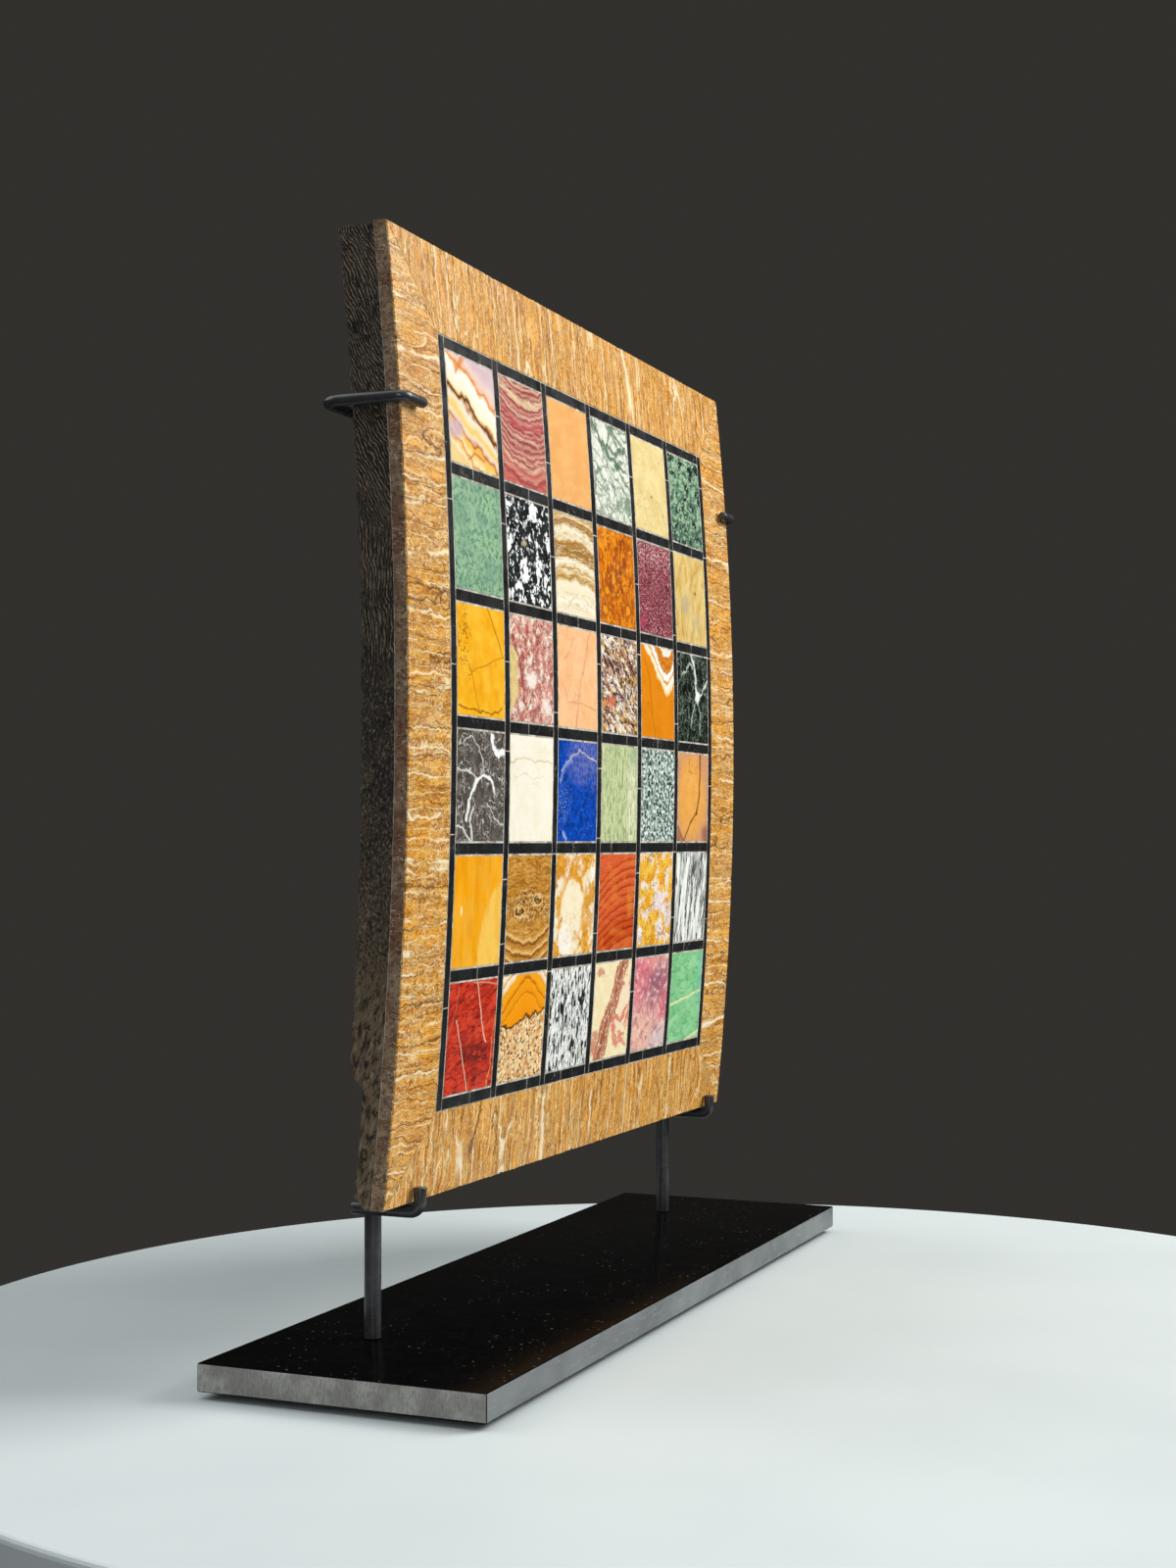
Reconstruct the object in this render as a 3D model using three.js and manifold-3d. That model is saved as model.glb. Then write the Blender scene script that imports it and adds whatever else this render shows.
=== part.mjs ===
// A square tablet of thirty-six marble specimens on a black steel stand.
// Millimetres, +Z up, +X to the right of the face, -Y towards the viewer.
// The origin is on the surface that the stand rests on, under the middle of the base plate.

import * as THREE from 'three';
import { mergeVertices } from 'three/addons/utils/BufferGeometryUtils.js';
import Module from 'manifold-3d';

const wasm = await Module();
wasm.setup();

// The face: squares of stone in a black lattice, inside a banded border
const TILE_ROWS = 6;
const TILE_COLUMNS = 6;
const TILE_SIDE = 40.3;
const BAND_WIDTH = 4.4;
const JOINT = 0.3;
const BORDER_LEFT = 33;
const BORDER_RIGHT = 32.1;
const BORDER_TOP = 32.7;
const BORDER_BOTTOM = 30.1;
const FACING_THICKNESS = 5.2;
const BOW_RADIUS = 1628;
const EDGE_WEAR = 1.2;
const CORNER_TOP_LEFT = 1;
const CORNER_TOP_RIGHT = 3.6;
const CORNER_BOTTOM_RIGHT = 2.6;
const CORNER_BOTTOM_LEFT = 1.2;

// The backing slab, thinner towards its foot and stepped in low on the back
const SLAB_THICKNESS_TOP = 14.3;
const SLAB_THICKNESS_BOTTOM = 12.9;
const SLAB_DROP = 0.8;
const STEP_HEIGHT = 41.5;
const STEP_SLOPE = 4;
const STEP_DEPTH = 5.6;
const SLAB_HEEL = 3.6;

// The stand
const BASE_LENGTH = 390;
const BASE_DEPTH = 107.5;
const BASE_THICKNESS = 9.7;
const BASE_CORNER = 1;
const PAD_SIDE = 30;
const PAD_THICKNESS = 2.2;
const PAD_INSET = 8;
const CONTACT_GAP = 0.3;
const TABLET_LIFT = 49.1;
const TABLET_SHIFT = 5;
const FACE_SETBACK = 43.3;
const UPRIGHT_DIAMETER = 6;
const UPRIGHT_INSET = 26.2;
const UPRIGHT_TOP = 5;
const HOOK_DIAMETER = 4.6;
const HOOK_RISE = 6;
const HOOK_TAIL = 5;
const CLIP_DIAMETER = 4;
const CLIP_REAR_BEND = 6;
const CLIP_OVERLAP = 13.5;
const CLIP_TAIL = 5;
const LEFT_CLIP_HEIGHT = 277.5;
const RIGHT_CLIP_HEIGHT = 281.5;

// Fineness of the curved faces and round rods, and how far a cutting shape reaches past what it cuts
const LEVELS_PER_TILE = 2;
const UPRIGHT_SIDES = 24;
const ROD_SIDES = 12;
const BEND_STEPS = 6;
const CORNER_STEPS = 3;
const MERGE_TOLERANCE = 1e-4;
const CUT_OVERRUN = 20;

// Sizes worked out from the ones above
const tilePitch = TILE_SIDE + BAND_WIDTH + 2 * JOINT;
const latticeWidth = TILE_COLUMNS * tilePitch + BAND_WIDTH;
const latticeHeight = TILE_ROWS * tilePitch + BAND_WIDTH;
const tabletWidth = BORDER_LEFT + JOINT + latticeWidth + JOINT + BORDER_RIGHT;
const tabletHeight = BORDER_BOTTOM + JOINT + latticeHeight + JOINT + BORDER_TOP;

const baseBottom = PAD_THICKNESS + CONTACT_GAP;
const baseTop = baseBottom + BASE_THICKNESS;
const tabletBottom = baseTop + TABLET_LIFT;
const tabletTop = tabletBottom + tabletHeight;
const tabletMiddle = (tabletBottom + tabletTop) / 2;
const tabletLeft = TABLET_SHIFT - tabletWidth / 2;
const tabletRight = TABLET_SHIFT + tabletWidth / 2;
const latticeLeft = tabletLeft + BORDER_LEFT + JOINT;
const latticeBottom = tabletBottom + BORDER_BOTTOM + JOINT;
const latticeRight = latticeLeft + latticeWidth;
const latticeTop = latticeBottom + latticeHeight;
const faceFront = -BASE_DEPTH / 2 + FACE_SETBACK;

// Side is 'left' or 'right'; outward is -1 or 1, the way from the tablet to that edge
const sides = [
  { side: 'left', outward: -1, edge: tabletLeft },
  { side: 'right', outward: 1, edge: tabletRight },
];

const stones = [
  [
    { name: 'banded_onyx', colour: 0xd9bda6 },
    { name: 'rose_alabaster', colour: 0xc4705f },
    { name: 'apricot_limestone', colour: 0xe3a778 },
    { name: 'green_veined_marble', colour: 0xc9cdc2 },
    { name: 'cream_marble', colour: 0xe2d5ae },
    { name: 'teal_serpentine', colour: 0x6f917f },
  ],
  [
    { name: 'sage_marble', colour: 0xa9bda3 },
    { name: 'black_white_breccia', colour: 0x5b5a58 },
    { name: 'tan_banded_alabaster', colour: 0xb98f6b },
    { name: 'amber_alabaster', colour: 0xc87a3c },
    { name: 'maroon_marble', colour: 0x6d3c44 },
    { name: 'yellow_streaked_marble', colour: 0xd9c78c },
  ],
  [
    { name: 'golden_marble', colour: 0xd39a3a },
    { name: 'rose_breccia', colour: 0xc98378 },
    { name: 'peach_marble', colour: 0xe8c3a3 },
    { name: 'purple_breccia', colour: 0x8c6a6c },
    { name: 'orange_chevron_alabaster', colour: 0xcf8a4a },
    { name: 'black_serpentine', colour: 0x39443c },
  ],
  [
    { name: 'dark_veined_marble', colour: 0x6f6560 },
    { name: 'ivory_marble', colour: 0xe6ddca },
    { name: 'lapis_lazuli', colour: 0x3f5a94 },
    { name: 'pale_green_marble', colour: 0xb3c3a0 },
    { name: 'grey_granite', colour: 0x98a097 },
    { name: 'tan_cracked_marble', colour: 0xc79563 },
  ],
  [
    { name: 'honey_marble', colour: 0xdb9f45 },
    { name: 'burl_alabaster', colour: 0xa3754f },
    { name: 'amber_cloud_alabaster', colour: 0xd7a96c },
    { name: 'brick_red_marble', colour: 0xb04b3a },
    { name: 'gold_breccia', colour: 0xc79d55 },
    { name: 'grey_streaked_marble', colour: 0xc3c2bd },
  ],
  [
    { name: 'red_jasper', colour: 0xbb3d33 },
    { name: 'landscape_stone', colour: 0xc78f62 },
    { name: 'dashed_marble', colour: 0xd6d2c8 },
    { name: 'brick_veined_marble', colour: 0xcfa184 },
    { name: 'mauve_marble', colour: 0xc39097 },
    { name: 'mint_marble', colour: 0x7fb98a },
  ],
];

// Depth of the bowed face at a height: 0 at the middle, growing towards the top and bottom edges
function bowAt(z) {
  const offset = z - tabletMiddle;
  return BOW_RADIUS - Math.sqrt(BOW_RADIUS ** 2 - offset ** 2);
}

function faceAt(z) {
  return faceFront + bowAt(z);
}

function slabThicknessAt(z) {
  const share = (z - tabletBottom) / tabletHeight;
  return SLAB_THICKNESS_BOTTOM + share * (SLAB_THICKNESS_TOP - SLAB_THICKNESS_BOTTOM);
}

function slabFrontAt(z) {
  return faceAt(z) + FACING_THICKNESS + JOINT;
}

function slabBackAt(z) {
  return slabFrontAt(z) + slabThicknessAt(z);
}

// Heights from low to high, close enough together for the bow to look smooth
function levels(low, high) {
  const count = Math.max(1, Math.ceil(((high - low) / tilePitch) * LEVELS_PER_TILE));
  return Array.from({ length: count + 1 }, (_, i) => low + ((high - low) * i) / count);
}

// A closed outline of [depth, height] points, drawn out from one x to another
function drawnAcross(outline, left, right) {
  const shape = new THREE.Shape(outline.map(([y, z]) => new THREE.Vector2(y, z)));
  const geometry = new THREE.ExtrudeGeometry(shape, { depth: right - left, bevelEnabled: false });
  const axes = new THREE.Matrix4().makeBasis(
    new THREE.Vector3(0, 1, 0),
    new THREE.Vector3(0, 0, 1),
    new THREE.Vector3(1, 0, 0),
  );
  return geometry.applyMatrix4(axes).translate(left, 0, 0);
}

// A shape in the plane of the face, drawn out through the whole depth of the tablet
function drawnThrough(shape) {
  const front = faceFront - CUT_OVERRUN;
  const back = slabBackAt(tabletTop) + CUT_OVERRUN;
  const settings = { depth: back - front, bevelEnabled: false, curveSegments: CORNER_STEPS };
  const geometry = new THREE.ExtrudeGeometry(shape, settings);
  return geometry.rotateX(Math.PI / 2).translate(0, back, 0);
}

function polygon(points) {
  return new THREE.Shape(points.map(([x, z]) => new THREE.Vector2(x, z)));
}

// A rectangle with each corner rounded by its own amount
function roundedRectangle(left, right, bottom, top, corners) {
  const outline = new THREE.Shape();
  outline.moveTo(left + corners.bottomLeft, bottom);
  outline.lineTo(right - corners.bottomRight, bottom);
  outline.quadraticCurveTo(right, bottom, right, bottom + corners.bottomRight);
  outline.lineTo(right, top - corners.topRight);
  outline.quadraticCurveTo(right, top, right - corners.topRight, top);
  outline.lineTo(left + corners.topLeft, top);
  outline.quadraticCurveTo(left, top, left, top - corners.topLeft);
  outline.lineTo(left, bottom + corners.bottomLeft);
  outline.quadraticCurveTo(left, bottom, left + corners.bottomLeft, bottom);
  return outline;
}

// The outline of the tablet seen from the front, with its worn corners
function tabletOutline(top) {
  return roundedRectangle(tabletLeft, tabletRight, tabletBottom, top, {
    bottomLeft: CORNER_BOTTOM_LEFT,
    bottomRight: CORNER_BOTTOM_RIGHT,
    topRight: CORNER_TOP_RIGHT,
    topLeft: CORNER_TOP_LEFT,
  });
}

function toSolid(geometry) {
  const bare = geometry.clone();
  bare.deleteAttribute('normal');
  bare.deleteAttribute('uv');
  const merged = mergeVertices(bare, MERGE_TOLERANCE);
  const mesh = new wasm.Mesh({
    numProp: 3,
    vertProperties: new Float32Array(merged.attributes.position.array),
    triVerts: new Uint32Array(merged.index.array),
  });
  return new wasm.Manifold(mesh);
}

function toGeometry(solid) {
  const mesh = solid.getMesh();
  const geometry = new THREE.BufferGeometry();
  geometry.setAttribute('position', new THREE.BufferAttribute(mesh.vertProperties, 3));
  geometry.setIndex(new THREE.BufferAttribute(mesh.triVerts, 1));
  geometry.computeVertexNormals();
  return geometry;
}

// A plate that follows the bow of the face, in front and behind, between two heights
function bowedPlate(left, right, bottom, top, thickness) {
  const front = levels(bottom, top).map((z) => [faceAt(z), z]);
  const back = levels(bottom, top).map((z) => [faceAt(z) + thickness, z]).reverse();
  return drawnAcross([...back, ...front], left, right);
}

// The plate that the border is cut from, with the sharp front edge worn off all round
function wornPlate() {
  const front = levels(tabletBottom + EDGE_WEAR, tabletTop - EDGE_WEAR).map((z) => [faceAt(z), z]);
  const back = levels(tabletBottom, tabletTop).map((z) => [faceAt(z) + FACING_THICKNESS, z]).reverse();
  const foot = [faceAt(tabletBottom) + EDGE_WEAR, tabletBottom];
  const head = [faceAt(tabletTop) + EDGE_WEAR, tabletTop];
  let plate = toSolid(drawnAcross([...back, foot, ...front, head], tabletLeft, tabletRight));
  const deep = bowedPlate(tabletLeft, tabletRight, tabletBottom, tabletTop, tabletWidth);
  for (const { outward, edge } of sides) {
    const slant = new THREE.Matrix4().set(
      1, 0, 0, 0,
      outward, 1, 0, EDGE_WEAR - outward * edge,
      0, 0, 1, 0,
      0, 0, 0, 1,
    );
    plate = plate.intersect(toSolid(deep.clone().applyMatrix4(slant)));
  }
  return plate;
}

function tileGeometry(row, column) {
  const left = latticeLeft + BAND_WIDTH + JOINT + column * tilePitch;
  const top = latticeTop - BAND_WIDTH - JOINT - row * tilePitch;
  return bowedPlate(left, left + TILE_SIDE, top - TILE_SIDE, top, FACING_THICKNESS);
}

// The black frame and bands: a bowed plate with a square opening for each tile
function latticeGeometry() {
  let lattice = toSolid(
    bowedPlate(latticeLeft, latticeRight, latticeBottom, latticeTop, FACING_THICKNESS),
  );
  for (let row = 0; row < TILE_ROWS; row += 1) {
    for (let column = 0; column < TILE_COLUMNS; column += 1) {
      const left = latticeLeft + BAND_WIDTH + column * tilePitch;
      const right = left + tilePitch - BAND_WIDTH;
      const top = latticeTop - BAND_WIDTH - row * tilePitch;
      const bottom = top - tilePitch + BAND_WIDTH;
      const opening = polygon([[left, bottom], [right, bottom], [right, top], [left, top]]);
      lattice = lattice.subtract(toSolid(drawnThrough(opening)));
    }
  }
  return toGeometry(lattice);
}

// The four border strips meet at mitres that run from the tablet's corners to the lattice's
function borderStrips() {
  const innerLeft = tabletLeft + BORDER_LEFT;
  const innerRight = tabletRight - BORDER_RIGHT;
  const innerTop = tabletTop - BORDER_TOP;
  const innerBottom = tabletBottom + BORDER_BOTTOM;
  const seam = JOINT / Math.SQRT2;
  const outlines = {
    border_top: [
      [tabletLeft + seam, tabletTop], [innerLeft + seam, innerTop],
      [innerRight - seam, innerTop], [tabletRight - seam, tabletTop],
    ],
    border_bottom: [
      [tabletLeft + seam, tabletBottom], [tabletRight - seam, tabletBottom],
      [innerRight - seam, innerBottom], [innerLeft + seam, innerBottom],
    ],
    border_left: [
      [tabletLeft, tabletBottom + seam], [innerLeft, innerBottom + seam],
      [innerLeft, innerTop - seam], [tabletLeft, tabletTop - seam],
    ],
    border_right: [
      [tabletRight, tabletTop - seam], [innerRight, innerTop - seam],
      [innerRight, innerBottom + seam], [tabletRight, tabletBottom + seam],
    ],
  };
  const rounded = wornPlate().intersect(toSolid(drawnThrough(tabletOutline(tabletTop))));
  return Object.entries(outlines).map(([name, points]) => {
    const strip = rounded.intersect(toSolid(drawnThrough(polygon(points))));
    return { name, geometry: toGeometry(strip) };
  });
}

// The slab follows the bow, front and back, and is stepped in low on its back
function slabGeometry() {
  const top = tabletTop - SLAB_DROP;
  const stepTop = tabletBottom + STEP_HEIGHT + STEP_SLOPE;
  const stepFoot = tabletBottom + STEP_HEIGHT;
  const heel = tabletBottom + SLAB_HEEL;
  const front = levels(tabletBottom, top).map((z) => [slabFrontAt(z), z]);
  const upperBack = levels(stepTop, top).map((z) => [slabBackAt(z), z]).reverse();
  const lowerBack = levels(heel, stepFoot).map((z) => [slabBackAt(z) - STEP_DEPTH, z]).reverse();
  const foot = [slabBackAt(tabletBottom) - STEP_DEPTH - SLAB_HEEL, tabletBottom];
  const profile = [...upperBack, ...lowerBack, foot, ...front];
  const slab = toSolid(drawnAcross(profile, tabletLeft, tabletRight));
  return toGeometry(slab.intersect(toSolid(drawnThrough(tabletOutline(top)))));
}

// The arc that rounds the corner between two straight runs of rod
class Bend extends THREE.Curve {
  constructor(start, corner, end) {
    super();
    const toStart = start.clone().sub(corner).normalize();
    const toEnd = end.clone().sub(corner).normalize();
    const opening = toStart.angleTo(toEnd);
    this.turn = Math.PI - opening;
    this.radius = start.distanceTo(corner) * Math.tan(opening / 2);
    this.outward = toEnd.clone().addScaledVector(toStart, -toEnd.dot(toStart)).normalize().negate();
    this.along = toStart.clone().negate();
    this.centre = start.clone().addScaledVector(this.outward, -this.radius);
  }

  getPoint(t, target = new THREE.Vector3()) {
    const angle = t * this.turn;
    return target
      .copy(this.centre)
      .addScaledVector(this.outward, this.radius * Math.cos(angle))
      .addScaledVector(this.along, this.radius * Math.sin(angle));
  }
}

// A round rod through the given points, each corner bent to its own radius on the centre line
function bentRod(points, diameter, bends) {
  const path = new THREE.CurvePath();
  let from = points[0];
  for (let i = 1; i < points.length - 1; i += 1) {
    const corner = points[i];
    const back = points[i - 1].clone().sub(corner).normalize();
    const onward = points[i + 1].clone().sub(corner).normalize();
    const tangent = bends[i - 1] / Math.tan(back.angleTo(onward) / 2);
    const start = corner.clone().addScaledVector(back, tangent);
    const end = corner.clone().addScaledVector(onward, tangent);
    path.add(new THREE.LineCurve3(from, start));
    path.add(new Bend(start, corner, end));
    from = end;
  }
  path.add(new THREE.LineCurve3(from, points[points.length - 1]));
  const circle = Array.from({ length: ROD_SIDES }, (_, i) => {
    const angle = (2 * Math.PI * i) / ROD_SIDES;
    return [(diameter / 2) * Math.cos(angle), (diameter / 2) * Math.sin(angle)];
  });
  const stepLength = (Math.min(...bends) * Math.PI) / 2 / BEND_STEPS;
  const steps = Math.ceil(path.getLength() / stepLength);
  return new THREE.ExtrudeGeometry(polygon(circle), { steps, extrudePath: path });
}

// The uprights stand close behind the slab where it comes furthest back, at the clips and above the step
const clipHeights = { left: tabletBottom + LEFT_CLIP_HEIGHT, right: tabletBottom + RIGHT_CLIP_HEIGHT };
const uprightTops = { left: clipHeights.left + UPRIGHT_TOP, right: clipHeights.right + UPRIGHT_TOP };
const slabFurthestBack = Math.max(
  slabBackAt(uprightTops.left),
  slabBackAt(uprightTops.right),
  slabBackAt(tabletBottom + STEP_HEIGHT + STEP_SLOPE),
);
const uprightDepth = slabFurthestBack + CONTACT_GAP + UPRIGHT_DIAMETER / 2;

function uprightX({ outward, edge }) {
  return edge - outward * UPRIGHT_INSET;
}

function uprightGeometry(place) {
  const bottom = baseTop + CONTACT_GAP;
  const height = uprightTops[place.side] - bottom;
  const radius = UPRIGHT_DIAMETER / 2;
  const rod = new THREE.CylinderGeometry(radius, radius, height, UPRIGHT_SIDES);
  return rod.rotateX(Math.PI / 2).translate(uprightX(place), uprightDepth, bottom + height / 2);
}

// A hook lies along the outer side of its upright, runs forward under the tablet and turns up.
// Its bend goes round the tablet's worn lower edge at the same gap as its straight parts.
function hookGeometry(place) {
  const radius = HOOK_DIAMETER / 2;
  const x = uprightX(place) + place.outward * (UPRIGHT_DIAMETER / 2 + CONTACT_GAP + radius);
  const z = tabletBottom - CONTACT_GAP - radius;
  const lip = tabletBottom + HOOK_RISE;
  const front = faceAt(lip) - CONTACT_GAP - radius;
  const points = [
    new THREE.Vector3(x, uprightDepth + HOOK_TAIL, z),
    new THREE.Vector3(x, front, z),
    new THREE.Vector3(x, front, lip),
  ];
  return bentRod(points, HOOK_DIAMETER, [radius + CONTACT_GAP + EDGE_WEAR]);
}

// A clip starts behind its upright, goes out past the tablet's edge, forward, and in over the face
function clipGeometry(place) {
  const radius = CLIP_DIAMETER / 2;
  const z = clipHeights[place.side];
  const outside = place.edge + place.outward * (CONTACT_GAP + radius);
  const behind = uprightDepth + UPRIGHT_DIAMETER / 2 + CONTACT_GAP + radius;
  const front = faceAt(z - radius) - CONTACT_GAP - radius;
  const points = [
    new THREE.Vector3(uprightX(place) - place.outward * CLIP_TAIL, behind, z),
    new THREE.Vector3(outside, behind, z),
    new THREE.Vector3(outside, front, z),
    new THREE.Vector3(place.edge - place.outward * CLIP_OVERLAP, front, z),
  ];
  const frontBend = radius + CONTACT_GAP + EDGE_WEAR;
  return bentRod(points, CLIP_DIAMETER, [CLIP_REAR_BEND, frontBend]);
}

function basePlateGeometry() {
  const x = BASE_LENGTH / 2;
  const y = BASE_DEPTH / 2;
  const outline = roundedRectangle(-x, x, -y, y, {
    bottomLeft: BASE_CORNER,
    bottomRight: BASE_CORNER,
    topRight: BASE_CORNER,
    topLeft: BASE_CORNER,
  });
  const settings = { depth: BASE_THICKNESS, bevelEnabled: false, curveSegments: CORNER_STEPS };
  return new THREE.ExtrudeGeometry(outline, settings);
}

const steel = new THREE.MeshStandardMaterial({ color: 0x1b1b1d, roughness: 0.35, metalness: 0.6 });
const felt = new THREE.MeshStandardMaterial({ color: 0x151515, roughness: 0.95, metalness: 0 });
const blackMarble = new THREE.MeshStandardMaterial({ color: 0x26282b, roughness: 0.25, metalness: 0 });
const bandedBorder = new THREE.MeshStandardMaterial({ color: 0xd69a4f, roughness: 0.35, metalness: 0 });
const roughSlab = new THREE.MeshStandardMaterial({ color: 0x4a4640, roughness: 0.85, metalness: 0 });

const tablet = new THREE.Group();
const stand = new THREE.Group();

function addPiece(group, name, geometry, material) {
  const piece = new THREE.Mesh(geometry, material.clone());
  piece.name = name;
  group.add(piece);
  return piece;
}

addPiece(tablet, 'backing_slab', slabGeometry(), roughSlab);
addPiece(tablet, 'black_lattice', latticeGeometry(), blackMarble);
for (const strip of borderStrips()) {
  addPiece(tablet, strip.name, strip.geometry, bandedBorder);
}
for (let row = 0; row < TILE_ROWS; row += 1) {
  for (let column = 0; column < TILE_COLUMNS; column += 1) {
    const stone = stones[row % stones.length][column % stones[0].length];
    const material = new THREE.MeshStandardMaterial({ color: stone.colour, roughness: 0.3, metalness: 0 });
    const name = `tile_${row + 1}_${column + 1}_${stone.name}`;
    addPiece(tablet, name, tileGeometry(row, column), material);
  }
}

addPiece(stand, 'base_plate', basePlateGeometry(), steel).position.z = baseBottom;
for (const [endName, endSign] of [['left', -1], ['right', 1]]) {
  for (const [sideName, sideSign] of [['front', -1], ['back', 1]]) {
    const pad = new THREE.BoxGeometry(PAD_SIDE, PAD_SIDE, PAD_THICKNESS);
    addPiece(stand, `pad_${sideName}_${endName}`, pad, felt).position.set(
      endSign * (BASE_LENGTH / 2 - PAD_INSET - PAD_SIDE / 2),
      sideSign * (BASE_DEPTH / 2 - PAD_INSET - PAD_SIDE / 2),
      PAD_THICKNESS / 2,
    );
  }
}
for (const place of sides) {
  addPiece(stand, `upright_${place.side}`, uprightGeometry(place), steel);
  addPiece(stand, `hook_${place.side}`, hookGeometry(place), steel);
  addPiece(stand, `clip_${place.side}`, clipGeometry(place), steel);
}

const model = new THREE.Group();
model.add(tablet, stand);

export default model;
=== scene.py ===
# %% [markdown]
# # A tablet of marble specimens on a black steel stand
# The real object is a square, slightly bowed tablet. Thirty-six polished stones sit in a lattice of black
# marble, a banded amber border frames them, and everything is bedded on a thick slab of rough dark stone.
# A mount of bent black rods holds it upright. The measured solids come first, as a fixed frame: every
# piece made below takes its place from them, so nothing has to be fitted by hand.

import math
import random

import bmesh
import bpy
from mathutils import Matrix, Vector, noise


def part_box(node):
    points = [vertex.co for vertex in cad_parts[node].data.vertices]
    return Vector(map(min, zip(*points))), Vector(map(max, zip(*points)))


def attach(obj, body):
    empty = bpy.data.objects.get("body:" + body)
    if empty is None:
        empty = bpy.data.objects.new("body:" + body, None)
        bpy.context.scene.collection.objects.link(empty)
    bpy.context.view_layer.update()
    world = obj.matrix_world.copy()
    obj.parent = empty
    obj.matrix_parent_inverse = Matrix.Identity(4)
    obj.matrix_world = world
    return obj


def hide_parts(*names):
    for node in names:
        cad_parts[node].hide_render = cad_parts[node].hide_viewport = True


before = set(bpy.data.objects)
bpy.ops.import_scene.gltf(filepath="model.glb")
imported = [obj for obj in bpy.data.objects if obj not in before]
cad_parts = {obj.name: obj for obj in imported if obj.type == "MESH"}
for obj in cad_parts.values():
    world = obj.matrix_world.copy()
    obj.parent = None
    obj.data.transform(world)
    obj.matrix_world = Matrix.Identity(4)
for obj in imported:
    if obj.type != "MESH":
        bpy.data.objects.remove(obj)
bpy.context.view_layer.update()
MM = 0.001
print("solids in the frame:", len(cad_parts))

# %% [markdown]
# ## Where the face lies
# The face is part of a very flat cylinder: straight from left to right, bowed from top to bottom. One
# function gives its depth at any height, and every stone, joint and border strip below asks that function.
# The edges of the tablet come from the boxes of the border strips.

# %% The bowed face
BOW_RADIUS = 1628 * MM

tablet_left, tablet_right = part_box("border_left")[0][0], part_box("border_right")[1][0]
tablet_bottom, tablet_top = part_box("border_bottom")[0][2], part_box("border_top")[1][2]
lattice_low, lattice_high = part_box("black_lattice")
slab_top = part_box("backing_slab")[1][2]
tablet_middle = (tablet_bottom + tablet_top) / 2
face_front = lattice_low[1]


def face_y(z):
    """Depth of the bowed face at height z."""
    return face_front + BOW_RADIUS - math.sqrt(BOW_RADIUS ** 2 - (z - tablet_middle) ** 2)


print(f"tablet {(tablet_right - tablet_left) / MM:.1f} wide, {(tablet_top - tablet_bottom) / MM:.1f} high")

# %% [markdown]
# ## Turning points and faces into a piece
# Every piece is built as plain mesh data: a list of points and a list of faces. One helper makes the
# object, smooths it except at sharp edges, gives it its materials, and says which solids it stands for.
# Doing this in one place keeps the rest of the script about shapes and stone.

# %% Make a piece
SHARP_ANGLE = math.radians(38)


def make_piece(name, points, faces, materials, nodes, origin=(0, 0, 0), slots=None):
    """A smooth-shaded mesh object that rides with the part and stands for the given solids."""
    origin = Vector(origin)
    mesh = bpy.data.meshes.new(name)
    mesh.from_pydata([Vector(p) - origin for p in points], [], faces)
    for material in materials:
        mesh.materials.append(material)
    if slots:
        mesh.polygons.foreach_set("material_index", slots)
    mesh.polygons.foreach_set("use_smooth", [True] * len(mesh.polygons))
    mesh.validate()
    mesh.update()
    mesh.set_sharp_from_angle(angle=SHARP_ANGLE)
    piece = bpy.data.objects.new(name, mesh)
    piece.location = origin
    bpy.context.scene.collection.objects.link(piece)
    bpy.context.view_layer.update()
    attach(piece, "root")
    if nodes:
        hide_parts(*nodes)
    return piece


def skin(ring, count, order=(0, 1, 2, 3)):
    """Faces round a stack of rings of points; order says from which corner, and which way, each runs."""
    faces = []
    for j in range(count - 1):
        for i in range(ring):
            a, b = j * ring + i, j * ring + (i + 1) % ring
            corners = (a, b, b + ring, a + ring)
            faces.append(tuple(corners[k] for k in order))
    return faces


def spread(low, high, step):
    """Evenly spaced values from low to high, about one step apart."""
    count = max(1, round(abs(high - low) / step))
    return [low + (high - low) * i / count for i in range(count + 1)]


# %% [markdown]
# ## A stone is built in layers
# A polished slice of stone is a flat drawing of what happened to it: a ground colour, clouds and bands
# that settled in it, grains and broken pieces, and veins that filled its cracks. Painted images would
# repeat and blur, so each stone is a small stack of layers instead. A layer is a mask and a colour. The
# masks are noise, cells, placed lines and placed patches, all in millimetres on the face of the piece,
# so a vein in one square can run just where it runs in the real one.

# %% Layers of stone
def srgb(code):
    """A colour written as a hex code, as the numbers that a shader takes."""
    channels = [int(code[i:i + 2], 16) / 255 for i in (0, 2, 4)]
    return [c / 12.92 if c <= 0.04045 else ((c + 0.055) / 1.055) ** 2.4 for c in channels] + [1]


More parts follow.
